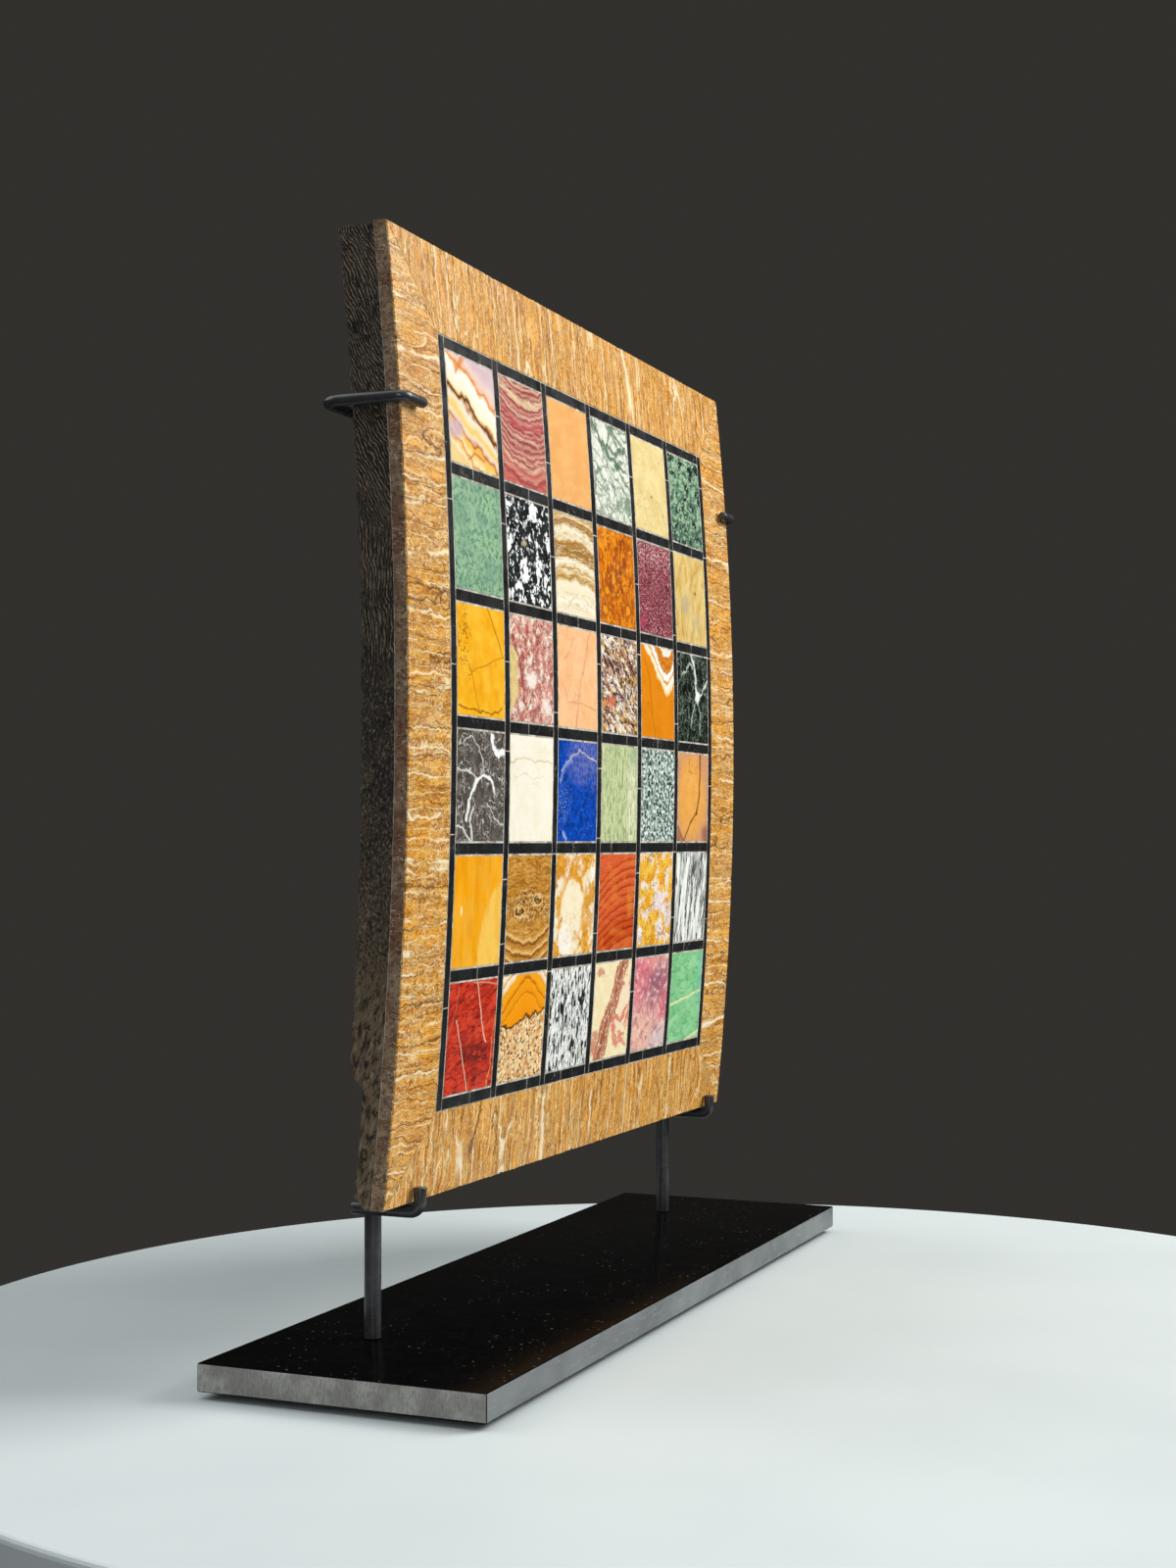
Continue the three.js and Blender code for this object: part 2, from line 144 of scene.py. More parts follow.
class Stone:
    """A material that is laid down layer by layer. Sizes are in millimetres."""

    def __init__(self, name, ground, roughness=0.3, specular=0.22):
        self.material = bpy.data.materials.new(name)
        self.material.use_nodes = True
        self.nodes = self.material.node_tree.nodes
        self.links = self.material.node_tree.links
        self.shader = self.nodes["Principled BSDF"]
        self.shader.inputs["Roughness"].default_value = roughness
        self.shader.inputs["Specular IOR Level"].default_value = specular
        where = self.nodes.new("ShaderNodeTexCoord").outputs["Object"]
        self.place = self.vector("SCALE", where, scale=1 / MM)
        self.colour = srgb(ground)

    def put(self, socket, value):
        if isinstance(value, bpy.types.NodeSocket):
            self.links.new(value, socket)
        else:
            socket.default_value = value

    def math(self, operation, *values):
        node = self.nodes.new("ShaderNodeMath")
        node.operation = operation
        for socket, value in zip(node.inputs, values):
            self.put(socket, value)
        return node.outputs[0]

    def vector(self, operation, *values, scale=None):
        node = self.nodes.new("ShaderNodeVectorMath")
        node.operation = operation
        for socket, value in zip(node.inputs, values):
            self.put(socket, value)
        if scale is not None:
            self.put(node.inputs["Scale"], scale)
        return node.outputs["Value" if operation in ("DOT_PRODUCT", "LENGTH") else "Vector"]

    def rise(self, value, low, high):
        """0 below low, 1 above high, with a soft step between; low may be the larger."""
        node = self.nodes.new("ShaderNodeMapRange")
        node.interpolation_type = "SMOOTHSTEP"
        self.put(node.inputs["Value"], value)
        flip = low > high
        node.inputs["From Min"].default_value = min(low, high)
        node.inputs["From Max"].default_value = max(low, high)
        node.inputs["To Min"].default_value = 1 if flip else 0
        node.inputs["To Max"].default_value = 0 if flip else 1
        return node.outputs["Result"]

    def mapped(self, place, location, rotation, scale):
        """Places as seen from a frame that is moved, turned and stretched."""
        node = self.nodes.new("ShaderNodeMapping")
        node.vector_type = "TEXTURE"
        self.put(node.inputs["Vector"], place)
        node.inputs["Location"].default_value = location
        node.inputs["Rotation"].default_value = rotation
        node.inputs["Scale"].default_value = scale
        return node.outputs["Vector"]

    def moved(self, size, stretch=(1, 1), turn=0, seed=0, place=None):
        """Places in units of size, stretched along the turned x and z directions."""
        return self.mapped(place or self.place, (seed * 37.3, seed * 11.9, seed * 53.1),
                           (0, math.radians(turn), 0), (size * stretch[0], size, size * stretch[1]))

    def axes(self, place):
        """The x, y and z of a place, as three values."""
        node = self.nodes.new("ShaderNodeSeparateXYZ")
        self.links.new(place, node.inputs["Vector"])
        return node.outputs["X"], node.outputs["Y"], node.outputs["Z"]

    def noise_node(self, place, detail):
        node = self.nodes.new("ShaderNodeTexNoise")
        self.put(node.inputs["Vector"], place)
        node.inputs["Scale"].default_value = 1
        node.inputs["Detail"].default_value = detail
        return node

    def wobbled(self, *waves, place=None):
        """Places pushed about by noise; each wave is (how far, how wide)."""
        place = place or self.place
        for number, (far, wide) in enumerate(waves):
            node = self.noise_node(self.moved(wide, seed=7 + number), 2)
            push = self.vector("SUBTRACT", node.outputs["Color"], (0.5, 0.5, 0.5))
            place = self.vector("ADD", place, self.vector("SCALE", push, scale=far * 4))
        return place

    def noise(self, size, detail=2, **where):
        return self.noise_node(self.moved(size, **where), detail).outputs["Fac"]

    def blended(self, first, second, share):
        """A value that goes from the first to the second as share goes from 0 to 1."""
        node = self.nodes.new("ShaderNodeMix")
        self.put(node.inputs["Factor"], share)
        self.put(node.inputs[2], first)
        self.put(node.inputs[3], second)
        return node.outputs[0]

    def cells(self, size, **where):
        """(distance to the nearest boundary, a chance value for each cell) of a broken stone."""
        at = self.moved(size, **where)
        edge = self.nodes.new("ShaderNodeTexVoronoi")
        edge.feature = "DISTANCE_TO_EDGE"
        cell = self.nodes.new("ShaderNodeTexVoronoi")
        for node in (edge, cell):
            self.put(node.inputs["Vector"], at)
            node.inputs["Scale"].default_value = 1
        split = self.nodes.new("ShaderNodeSeparateColor")
        self.links.new(cell.outputs["Color"], split.inputs["Color"])
        return edge.outputs["Distance"], split.outputs["Red"]

    def lay(self, colour, mask, amount=1.0, within=None):
        """Lays a colour, or a layer's own colours, over what is there."""
        if within is not None:
            mask = self.math("MULTIPLY", mask, within)
        if amount < 1:
            mask = self.math("MULTIPLY", mask, amount)
        node = self.nodes.new("ShaderNodeMix")
        node.data_type = "RGBA"
        self.put(node.inputs["Factor"], mask)
        self.put(node.inputs[6], self.colour)
        self.put(node.inputs[7], srgb(colour) if isinstance(colour, str) else colour)
        self.colour = node.outputs[2]

    def finish(self, bump=0.02, size=0.6, gloss=None):
        """Joins the colour up and adds the fine unevenness that polish leaves."""
        worn = self.rise(self.noise(9, 3, seed=5), 0.3, 0.7)
        return self.relief(bump, self.noise(size, 4, seed=3), gloss, worn)

    def relief(self, bump, height, gloss, worn):
        """Joins up the colour, a bump of so many millimetres, and a roughness between two values."""
        self.put(self.shader.inputs["Base Color"], self.colour)
        grain = self.nodes.new("ShaderNodeBump")
        grain.inputs["Distance"].default_value = bump * MM
        self.put(grain.inputs["Height"], height)
        self.put(self.shader.inputs["Normal"], grain.outputs["Normal"])
        if gloss:
            low, high = gloss
            self.put(self.shader.inputs["Roughness"], self.math("MULTIPLY_ADD", worn, high - low, low))
        return self.material


print("layers ready")

# %% [markdown]
# ## Words for what is seen in a stone
# The recipes read best in the words a mason would use, so these helpers name the common features: clouds,
# veins, bands, broken pieces, grains, and lines or patches at a stated place. Places on a square are
# given from its top left corner, because that is how one looks at it: as shares of its side in patches,
# and as hundredths of it in the chains of places of lines and in the depths of strata.

# %% Clouds, veins, nets, lines, patches and strata
SIDE = 40.3
THROUGH = 1000


def spot(u, v):
    """A place on a square, as millimetres from its centre."""
    return ((u - 0.5) * SIDE, 0, (0.5 - v) * SIDE)


def clouds(stone, colour, size, at=0.5, soft=0.08, amount=1.0, detail=3, within=None, **where):
    value = stone.noise(size, detail, **where)
    stone.lay(colour, stone.rise(value, at - soft, at + soft), amount, within)


def veins(stone, colour, size, width=0.02, amount=1.0, detail=3, broken=0.0, within=None, **where):
    """Thin lines where the noise passes through its middle value; broken leaves parts of them out."""
    value = stone.noise(size, detail, **where)
    away = stone.math("ABSOLUTE", stone.math("SUBTRACT", value, 0.5))
    mask = stone.rise(away, width, 0)
    if broken:
        gaps = stone.noise(size * 1.7, 2, seed=where.get("seed", 0) + 21)
        gaps = stone.rise(gaps, broken - 0.06, broken + 0.06)
        mask = stone.math("MULTIPLY", mask, gaps)
    stone.lay(colour, mask, amount, within)


def line(stone, colour, points, width, soft=0.3, waves=((0.5, 5),), amount=1.0):
    """A vein along a chain of places on the square, a little wavy."""
    place = stone.wobbled(*waves)
    nearest = None
    chain = [Vector(spot(*(float(part) / 100 for part in point.split(",")))) for point in points.split()]
    for start, end in zip(chain, chain[1:]):
        run = end - start
        length = run.length
        along = run / length
        across = Vector((-along.z, 0, along.x))
        offset = stone.vector("SUBTRACT", place, tuple(start))
        t = stone.vector("DOT_PRODUCT", offset, tuple(along))
        from_middle = stone.math("ABSOLUTE", stone.math("SUBTRACT", t, length / 2))
        over = stone.math("MAXIMUM", stone.math("SUBTRACT", from_middle, length / 2), 0)
        side = stone.math("ABSOLUTE", stone.vector("DOT_PRODUCT", offset, tuple(across)))
        distance = stone.math("ADD", side, over)
        nearest = distance if nearest is None else stone.math("MINIMUM", nearest, distance)
    stone.lay(colour, stone.rise(nearest, width / 2 + soft, max(width / 2 - soft, 0)), amount)


def patch(stone, u, v, wide, high, soft=0.3, waves=((1.5, 8),), turn=0):
    """The mask of a rounded patch at a place; wide and high are shares of the side."""
    place = stone.wobbled(*waves) if waves else stone.place
    from_middle = stone.mapped(place, spot(u, v), (0, math.radians(turn), 0),
                               (wide * SIDE / 2, THROUGH, high * SIDE / 2))
    return stone.rise(stone.vector("LENGTH", from_middle), 1 + soft, 1 - soft)


def net(stone, colour, size, width, uneven=0.5, amount=1.0, within=None, **where):
    """The filling between broken pieces: thick in some places, a hair in others."""
    edge, _ = stone.cells(size, **where)
    thick = stone.rise(stone.noise(size * 1.3, 2, seed=where.get("seed", 0) + 31), 0.35, 0.65)
    swollen = stone.math("MULTIPLY_ADD", thick, -width * uneven * 2, edge)
    stone.lay(colour, stone.rise(swollen, width, width * 0.25 - width * uneven), amount, within)


def level(stone, slope=0.0, bend=0.0, bend_at=0.5, peak=0.0, peak_at=0.5, waves=((0.6, 9), (0.25, 3))):
    """How far down the square a place lies, from 0 to 1, with the layers tilted, sagging or folded."""
    x, _, z = stone.axes(stone.wobbled(*waves))
    u = stone.math("MULTIPLY_ADD", x, 1 / SIDE, 0.5)
    down = stone.math("MULTIPLY_ADD", z, -1 / SIDE, 0.5)
    if slope:
        down = stone.math("MULTIPLY_ADD", stone.math("SUBTRACT", u, 0.5), -slope, down)
    if bend:
        away = stone.math("SUBTRACT", u, bend_at)
        down = stone.math("MULTIPLY_ADD", stone.math("MULTIPLY", away, away), bend, down)
    if peak:
        away = stone.math("SUBTRACT", u, peak_at)
        rounded = stone.math("SQRT", stone.math("MULTIPLY_ADD", away, away, 0.004))
        down = stone.math("MULTIPLY_ADD", rounded, peak, down)
    return down


def strata(stone, depth, stops, amount=1.0, within=None):
    """Colours by depth: each stop is a depth and its colour."""
    stops = [stop.split() for stop in stops.split(",")]
    node = stone.nodes.new("ShaderNodeValToRGB")
    stone.put(node.inputs["Fac"], depth)
    ramp = node.color_ramp
    while len(ramp.elements) < len(stops):
        ramp.elements.new(1)
    for element, (position, colour) in zip(ramp.elements, stops):
        element.position = float(position) / 100
        element.color = srgb(colour)
    stone.lay(node.outputs["Color"], 1.0 if within is None else within, amount)


print("words for stone ready")

# %% [markdown]
# ## The first row of specimens
# Onyx and alabaster grew in layers, so their colours follow a depth that is tilted and wobbled. The
# apricot and the cream are nearly plain, and only faint clouds keep them from looking like plastic. The
# green-veined and the teal marbles are crushed rock healed by veins, which cells and clouds give.

# %% Row 1
recipes = {}


def recipe(ground):
    """Keeps a stone's ground colour and what is laid over it, under the stone's own name."""
    def keep(make):
        recipes[make.__name__] = (ground, make)
        return make
    return keep


@recipe("f3ecd9")
def banded_onyx(s):
    depth = level(s, slope=0.42, waves=((2.4, 13), (0.9, 5), (0.25, 2)))
    strata(s, depth, """
        0 d9bfc4, 10 ecd2cc, 16 f0c4a8, 19.5 dd7d1c, 21.5 f3c78c, 25 fffaec, 33 f3efdf, 43 fdf0ca,
        46.5 c98d3c, 48 6b3d0c, 49.5 3f2408, 51 b97a2c, 55 ece5da, 60 f6e0a4, 66 efc86e, 70 f8dfa0,
        74 e6cdc4, 76.5 d89a6c, 78 b05c14, 80 f2b250, 85 f9cf70, 89 fbe6b4, 92 e08c30, 94 f6c97a,
        97 fbe9c4, 100 efd08c""")
    s.lay("cdb0be", patch(s, 0.13, 0.67, 0.3, 0.17, 0.5), 0.85)
    line(s, "e07c14", "20,15 30,7 36,0", 2.2, 1.3, ((1.0, 4),), 0.85)
    line(s, "c8660c", "36,94 50,86 70,90", 0.8, 0.6, ((0.8, 6),), 0.8)


@recipe("c4605f")
def rose_alabaster(s):
    depth = level(s, bend=0.42, bend_at=0.55, waves=((1.1, 9), (0.35, 2.6)))
    strata(s, depth, """
        0 c98f7a, 3 9c3a40, 5.5 dfb898, 8.5 94323a, 11 d29c84, 13.5 8f303a, 16.5 e6caa4, 22 dcb894,
        24 8a2c36, 27 d0907e, 29 b0545a, 32 e0b89e, 34.5 8f3540, 37 cf8b7c, 41 b24a50, 46 c0605c,
        48 842b35, 50.5 d8988a, 53 aa3e48, 56 dca892, 58.5 7d2832, 62 d49482, 65 8e3038, 69 dca08c,
        71.5 963440, 75 e2b098, 78 9e3a42, 82 e2b89a, 86 b85652, 91 d48c76, 95 a03a3e, 100 c8685c""")
    clouds(s, "8c2c38", 1.3, 0.58, 0.05, 0.4, stretch=(7, 1), seed=4)
    clouds(s, "e8c4a8", 1.2, 0.61, 0.05, 0.4, stretch=(6, 1), seed=6)


@recipe("f1b46c")
def apricot_limestone(s):
    clouds(s, "eba55c", 14, 0.5, 0.2, 0.7, stretch=(1, 0.7), turn=20, seed=1)
    clouds(s, "f8c68a", 3, 0.58, 0.1, 0.35, stretch=(4, 1), turn=-15, seed=2)
    clouds(s, "dd9850", 1.2, 0.66, 0.06, 0.35, seed=3)


@recipe("eceee2")
def green_veined_marble(s):
    crushed = s.wobbled((1.8, 7), (0.6, 2.2))
    clouds(s, "cbd2c4", 5, 0.53, 0.1, 0.7, stretch=(1.6, 0.7), turn=-28, seed=1)
    net(s, "6f8670", 12, 0.05, 0.6, 0.9, stretch=(1.6, 0.6), turn=24, seed=2, place=crushed)
    net(s, "8a9c88", 5, 0.07, 0.6, 0.85, s.rise(level(s), 0.5, 0.7), stretch=(1.3, 0.8), turn=20, seed=5,
        place=crushed)
    torn = ((1.8, 6), (0.6, 2), (0.2, 0.8))
    line(s, "4a6a52", "0,2 28,24 46,34 70,41 90,44", 2.4, 0.8, torn, 0.9)
    line(s, "456450", "40,24 64,30 95,20", 2.0, 0.8, torn, 0.9)
    line(s, "56735c", "52,0 62,10 80,16 100,30", 1.6, 0.8, torn, 0.85)
    line(s, "5c7a62", "28,28 50,58 66,95", 1.1, 0.7, torn, 0.85)
    line(s, "6a856d", "0,46 20,52 36,70 44,100", 1.0, 0.7, torn, 0.8)
    clouds(s, "5b7560", 2.2, 0.66, 0.05, 0.7, seed=7, detail=4)


@recipe("e4cc8a")
def cream_marble(s):
    clouds(s, "f2e0a6", 7, 0.5, 0.15, 0.8, seed=1)
    clouds(s, "dfc07c", 2.4, 0.6, 0.08, 0.5, stretch=(2, 0.8), turn=-10, seed=2, detail=5)
    veins(s, "9d8147", 5, 0.014, 0.6, broken=0.52, seed=3, detail=3, within=s.rise(level(s), 0.3, 0.7))
    veins(s, "bfa266", 8, 0.012, 0.5, stretch=(1.6, 0.8), broken=0.55, seed=4)
    line(s, "8d7440", "20,56 30,70 34,84 50,95", 0.25, 0.3, ((1.0, 3),), 0.6)
    line(s, "8d7440", "66,62 80,70 92,88", 0.25, 0.3, ((1.0, 3),), 0.6)
    s.lay("6c511f", patch(s, 0.53, 0.6, 0.04, 0.035, waves=None), 0.9)
    clouds(s, "8f7339", 0.8, 0.72, 0.02, 0.7, seed=5)


@recipe("5f876a")
def teal_serpentine(s):
    clouds(s, "9bbb9c", 3.4, 0.5, 0.06, 0.9, stretch=(1.7, 0.8), turn=-15, seed=1, detail=5)
    clouds(s, "3c6152", 2.8, 0.52, 0.05, 0.9, stretch=(1.5, 0.9), turn=-10, seed=2, detail=5)
    clouds(s, "12211f", 5.2, 0.565, 0.04, 0.97, stretch=(1.2, 1), turn=-20, seed=3, detail=5)
    clouds(s, "c0d6b6", 1.6, 0.6, 0.04, 0.75, stretch=(1.5, 0.8), seed=5, detail=4)
    clouds(s, "16292a", 5, 0.51, 0.07, 0.8, within=s.rise(level(s), 0.72, 0.95), seed=6, detail=4)


print("stones:", len(recipes))

# %% [markdown]
# ## The second row
# A speckled sage marble, a black and white breccia of angular pieces, and a banded alabaster with a
# fibrous brown layer. The amber and the yellow stones are clouded and veined, and the maroon one is full
# of small flecks that all lie the same way, so its clouds are small and stretched.

# %% Row 2
@recipe("93bb92")
def sage_marble(s):
    clouds(s, "a3c4a4", 1.8, 0.53, 0.05, 0.8, stretch=(1.2, 0.9), turn=30, seed=1, detail=5)
    clouds(s, "5f8c72", 1.9, 0.545, 0.05, 0.85, stretch=(1.2, 0.9), turn=-30, seed=2, detail=5)
    clouds(s, "6c9482", 12, 0.52, 0.12, 0.5, seed=3)
    clouds(s, "355f4b", 1.1, 0.64, 0.03, 0.8, stretch=(1.5, 0.8), turn=35, seed=4, detail=4)
    clouds(s, "2c5244", 1.3, 0.63, 0.03, 0.8, seed=5, within=s.rise(level(s), 0.5, 0.95), detail=4)


@recipe("14171a")
def black_white_breccia(s):
    broken = s.wobbled((0.7, 2.4), (0.25, 0.9))
    clouds(s, "e9eef0", 2.1, 0.585, 0.012, 0.97, seed=2, detail=3, place=broken)
    edge, chance = s.cells(3.0, seed=1, place=broken)
    s.lay("f7fafb", s.math("MULTIPLY", s.rise(chance, 0.22, 0.2), s.rise(edge, 0.06, 0.12)))
    for u, v, wide, high in ((0.64, 0.1, 0.22, 0.18), (0.4, 0.67, 0.24, 0.24), (0.7, 0.6, 0.2, 0.24),
                             (0.96, 0.37, 0.14, 0.14), (0.03, 0.4, 0.15, 0.17), (0.24, 0.87, 0.2, 0.15),
                             (0.9, 0.75, 0.15, 0.15), (0.07, 0.06, 0.18, 0.12)):
        s.lay("fbfdfe", patch(s, u, v, wide, high, 0.06, ((0.9, 2.2), (0.3, 0.9))), 1.0)
    clouds(s, "0a0c0e", 2.8, 0.54, 0.015, 0.97, seed=7, detail=4)
    clouds(s, "93a3ad", 0.9, 0.66, 0.04, 0.4, seed=6)
    s.lay("d9c9a0", patch(s, 0.4, 0.44, 0.12, 0.07, 0.4), 0.6)


@recipe("f9ecc6")
def tan_banded_alabaster(s):
    depth = level(s, bend=-0.22, bend_at=0.45, waves=((1.3, 12), (0.5, 4.5), (0.15, 1.5)))
    strata(s, depth, """
        0 d3b074, 3 e6cc98, 5 9c6a24, 7.5 bb8f4c, 10 8f5f1e, 12 e8d3a2, 15 f8f0d8, 19 ecd9ae, 22 f6ebcb,
        25 c99c54, 27 a4742c, 31 bb8d48, 35 99681f, 40 c49a56, 42.5 a8782e, 44 f2e5c0, 48 fbf5e2,
        52.5 e6cd98, 54 b88a40, 55.5 f1dfb6, 59 d3ab62, 62.5 b08038, 64.5 d9b676, 67 f6ecd0, 76 f3e6c6,
        85 faf4e0, 90 efe0bd, 100 f8efd8""")
    clouds(s, "87591a", 1.3, 0.54, 0.08, 0.6, stretch=(0.8, 9), seed=2,
           within=s.math("MULTIPLY", s.rise(depth, 0.24, 0.3), s.rise(depth, 0.44, 0.4)))
    fibres = s.wobbled((1.3, 12), (0.5, 4.5))
    clouds(s, "a4742e", 0.8, 0.56, 0.05, 0.45, stretch=(14, 0.7), seed=11, place=fibres, detail=2,
           within=s.rise(depth, 0.66, 0.6))
    clouds(s, "fbf3de", 0.8, 0.58, 0.05, 0.5, stretch=(14, 0.7), seed=12, place=fibres, detail=2)
    line(s, "b89a66", "28,93 40,84 55,76", 0.3, 0.25, amount=0.7)
    veins(s, "c9ac74", 7, 0.015, 0.6, stretch=(4, 0.6), seed=5, within=s.rise(depth, 0.68, 0.75))


@recipe("e07c06")
def amber_alabaster(s):
    clouds(s, "f09a14", 5, 0.52, 0.08, 0.8, stretch=(0.8, 1.3), seed=1, detail=4)
    veins(s, "a5490c", 5, 0.07, 0.85, stretch=(0.8, 1.3), seed=2, detail=3)
    clouds(s, "a84c0e", 3.8, 0.56, 0.04, 0.85, stretch=(0.7, 1.5), seed=3, detail=4)
    clouds(s, "8a3a12", 4, 0.54, 0.06, 0.9, seed=7, detail=4, within=patch(s, 0.64, 0.2, 0.36, 0.5, 0.5))
    clouds(s, "8a3a12", 4, 0.53, 0.06, 0.85, seed=8, detail=4, within=patch(s, 0.52, 0.55, 0.5, 0.34, 0.5))
    clouds(s, "f6b038", 2, 0.61, 0.04, 0.7, seed=4, detail=4)
    for u, v in ((0.2, 0.66), (0.14, 0.86), (0.78, 0.82)):
        s.lay("a9520c", patch(s, u, v, 0.2, 0.16, 0.15, ((0.8, 3),)), 0.7)
        s.lay("f09e1c", patch(s, u, v, 0.12, 0.09, 0.25, ((0.8, 3),)), 0.9)


@recipe("7d333e")
def maroon_marble(s):
    clouds(s, "5a1e2e", 2.6, 0.52, 0.08, 0.8, stretch=(2, 0.9), seed=1, detail=4)
    clouds(s, "a65c66", 1.0, 0.55, 0.05, 0.8, stretch=(1.8, 0.8), seed=2, detail=4)
    clouds(s, "d8a4a6", 0.85, 0.6, 0.035, 0.85, stretch=(1.7, 0.8), seed=3, detail=3)
    clouds(s, "e4b8b6", 0.9, 0.565, 0.035, 0.8, stretch=(1.6, 0.9), seed=5,
           within=s.rise(level(s), 0.34, 0.1))
    s.lay("c42f62", patch(s, 0.1, 0.88, 0.14, 0.1, 0.5, ((1.2, 3),)), 0.75)
    s.lay("34040f", patch(s, 0.86, 0.45, 0.13, 0.05, 0.5, ((1.2, 3),)), 0.9)


@recipe("dabb70")
def yellow_streaked_marble(s):
    clouds(s, "ead08a", 7, 0.5, 0.12, 0.8, stretch=(0.8, 1.5), seed=1, detail=4)
    clouds(s, "cfa14c", 6, 0.56, 0.05, 0.7, stretch=(0.7, 1.7), turn=25, seed=2, detail=5)
    clouds(s, "d3bd84", 3, 0.56, 0.08, 0.6, stretch=(0.8, 1.5), seed=5, detail=4)
    veins(s, "b98a34", 8, 0.02, 0.7, stretch=(0.7, 1.5), broken=0.48, seed=3)
    s.lay("b7ab8c", patch(s, 0.33, 0.58, 0.28, 0.22, 0.6, ((2, 5),)), 0.7)
    s.lay("b9ae90", patch(s, 0.68, 0.75, 0.22, 0.18, 0.6, ((2, 5),)), 0.6)
    s.lay("6f511a", patch(s, 0.66, 0.41, 0.06, 0.035, 0.6), 0.9)
    line(s, "c08a30", "80,10 62,22 50,40", 0.7, 0.6, ((1.2, 5),), 0.7)
    line(s, "bd862c", "20,60 18,80 25,96", 0.9, 0.7, ((0.8, 4),), 0.8)


print("stones:", len(recipes))

# %% [markdown]
# ## The third row
# The golden stone is plain but for its hairline cracks, and those are placed one by one. The two
# breccias are fields of broken pieces with a dark filling between them. In the orange alabaster white
# layers fold into a V, and the black serpentine is crossed by a thick white star of veins.

# %% Row 3
@recipe("fab41a")
def golden_marble(s):
    clouds(s, "eda00d", 5, 0.55, 0.1, 0.6, seed=1)
    clouds(s, "fdc93f", 7, 0.56, 0.1, 0.6, seed=2)
    line(s, "74400a", "64,0 84,25 96,42", 0.35, 0.3, ((0.4, 5),), 0.95)
    line(s, "9a5d0c", "30,60 60,52 98,42", 0.25, 0.3, ((0.5, 5),), 0.7)
    line(s, "8a500a", "3,92 35,94 75,96 94,90", 0.5, 0.35, ((0.7, 4),), 0.9)
    line(s, "96590c", "5,50 20,50 30,62 45,95", 0.4, 0.35, ((0.9, 4),), 0.7)
    scar = patch(s, 0.14, 0.3, 0.26, 0.6, 0.3)
    veins(s, "7c450a", 3.6, 0.03, 0.85, detail=4, seed=4, within=scar)
    veins(s, "7c450a", 2.4, 0.04, 0.85, seed=6, within=patch(s, 0.28, 0.6, 0.12, 0.12, 0.4))
    veins(s, "b06a10", 8, 0.012, 0.4, broken=0.55, seed=8)


@recipe("eab8a4")
def rose_breccia(s):
    crushed = s.wobbled((1.3, 4), (0.5, 1.6))
    clouds(s, "f8ead9", 4.4, 0.48, 0.05, 0.95, seed=1, detail=5)
    clouds(s, "dc8f80", 2.8, 0.54, 0.05, 0.85, seed=2, detail=5)
    clouds(s, "b25c55", 5, 0.57, 0.04, 0.75, seed=10, detail=5)
    veins(s, "8f3a3a", 3.6, 0.06, 0.9, seed=3, place=crushed, detail=3, broken=0.42)
    veins(s, "96403f", 2.4, 0.045, 0.8, seed=6, broken=0.47, detail=4)
    s.lay("e6d08c", patch(s, -0.02, 0.58, 0.46, 0.6, 0.08, ((2.2, 6), (0.6, 2))), 0.9)
    clouds(s, "cdae62", 2.4, 0.55, 0.08, 0.7, seed=9, detail=4, within=patch(s, 0.0, 0.58, 0.42, 0.55, 0.2))
    line(s, "8f3438", "4,20 20,40 28,60 30,76 36,86", 1.0, 0.5,
         ((1.4, 4), (0.4, 1.4)), 0.9)
    s.lay("fbf3ea", patch(s, 0.48, 0.6, 0.24, 0.16, 0.4, ((2.4, 3), (0.8, 1.2))), 0.8)
    s.lay("f7ece2", patch(s, 0.84, 0.84, 0.22, 0.16, 0.4, ((2.4, 3), (0.8, 1.2))), 0.8)


@recipe("fbc088")
def peach_marble(s):
    clouds(s, "fdcd9e", 9, 0.5, 0.15, 0.7, seed=1)
    clouds(s, "f0ac78", 5, 0.57, 0.1, 0.45, seed=2, detail=4)
    line(s, "c58060", "80,5 68,32 52,66 43,100", 0.5, 0.55, ((0.8, 4),), 0.7)
    line(s, "cc8a68", "6,50 24,74 60,76 95,78", 0.4, 0.5, ((0.9, 4),), 0.55)
    line(s, "cf8f6c", "42,10 30,24 18,34", 0.3, 0.45, ((0.8, 4),), 0.55)
    veins(s, "d3926a", 7, 0.016, 0.45, broken=0.5, seed=4, detail=4)
    clouds(s, "fbe0c0", 1.6, 0.64, 0.05, 0.4, seed=6)


@recipe("a08070")
def purple_breccia(s):
    crushed = s.wobbled((1.2, 3.2), (0.6, 1.2), (0.2, 0.5))
    edge, chance = s.cells(2.7, stretch=(1.9, 0.62), turn=26, seed=2, place=crushed)
    strata(s, chance, """
        0 f7eee0, 16 ecdccb, 20 c59a80, 32 6c4448, 42 a07266, 52 efc772, 60 c98a40, 70 fdf6ea, 82 c39884,
        90 d99a62, 100 4c2c30""")
    clouds(s, "4a2a2e", 2.8, 0.575, 0.025, 0.9, stretch=(2.2, 0.6), turn=26, seed=4, detail=5)
    clouds(s, "fdf4e6", 3.2, 0.575, 0.025, 0.92, stretch=(2.0, 0.65), turn=26, seed=5, detail=5)
    clouds(s, "e9bb6c", 3, 0.57, 0.04, 0.75, stretch=(1.8, 0.7), turn=26, seed=6, detail=4,
           within=s.rise(level(s), 0.4, 0.8))
    s.lay("ec7a52", patch(s, 0.23, 0.68, 0.3, 0.13, 0.3, ((1.6, 3), (0.6, 1.2))), 0.85)
    thin = s.rise(s.noise(3, 2, seed=8), 0.38, 0.52)
    s.lay("2e1618", s.rise(edge, 0.15, 0.02), 0.94, thin)


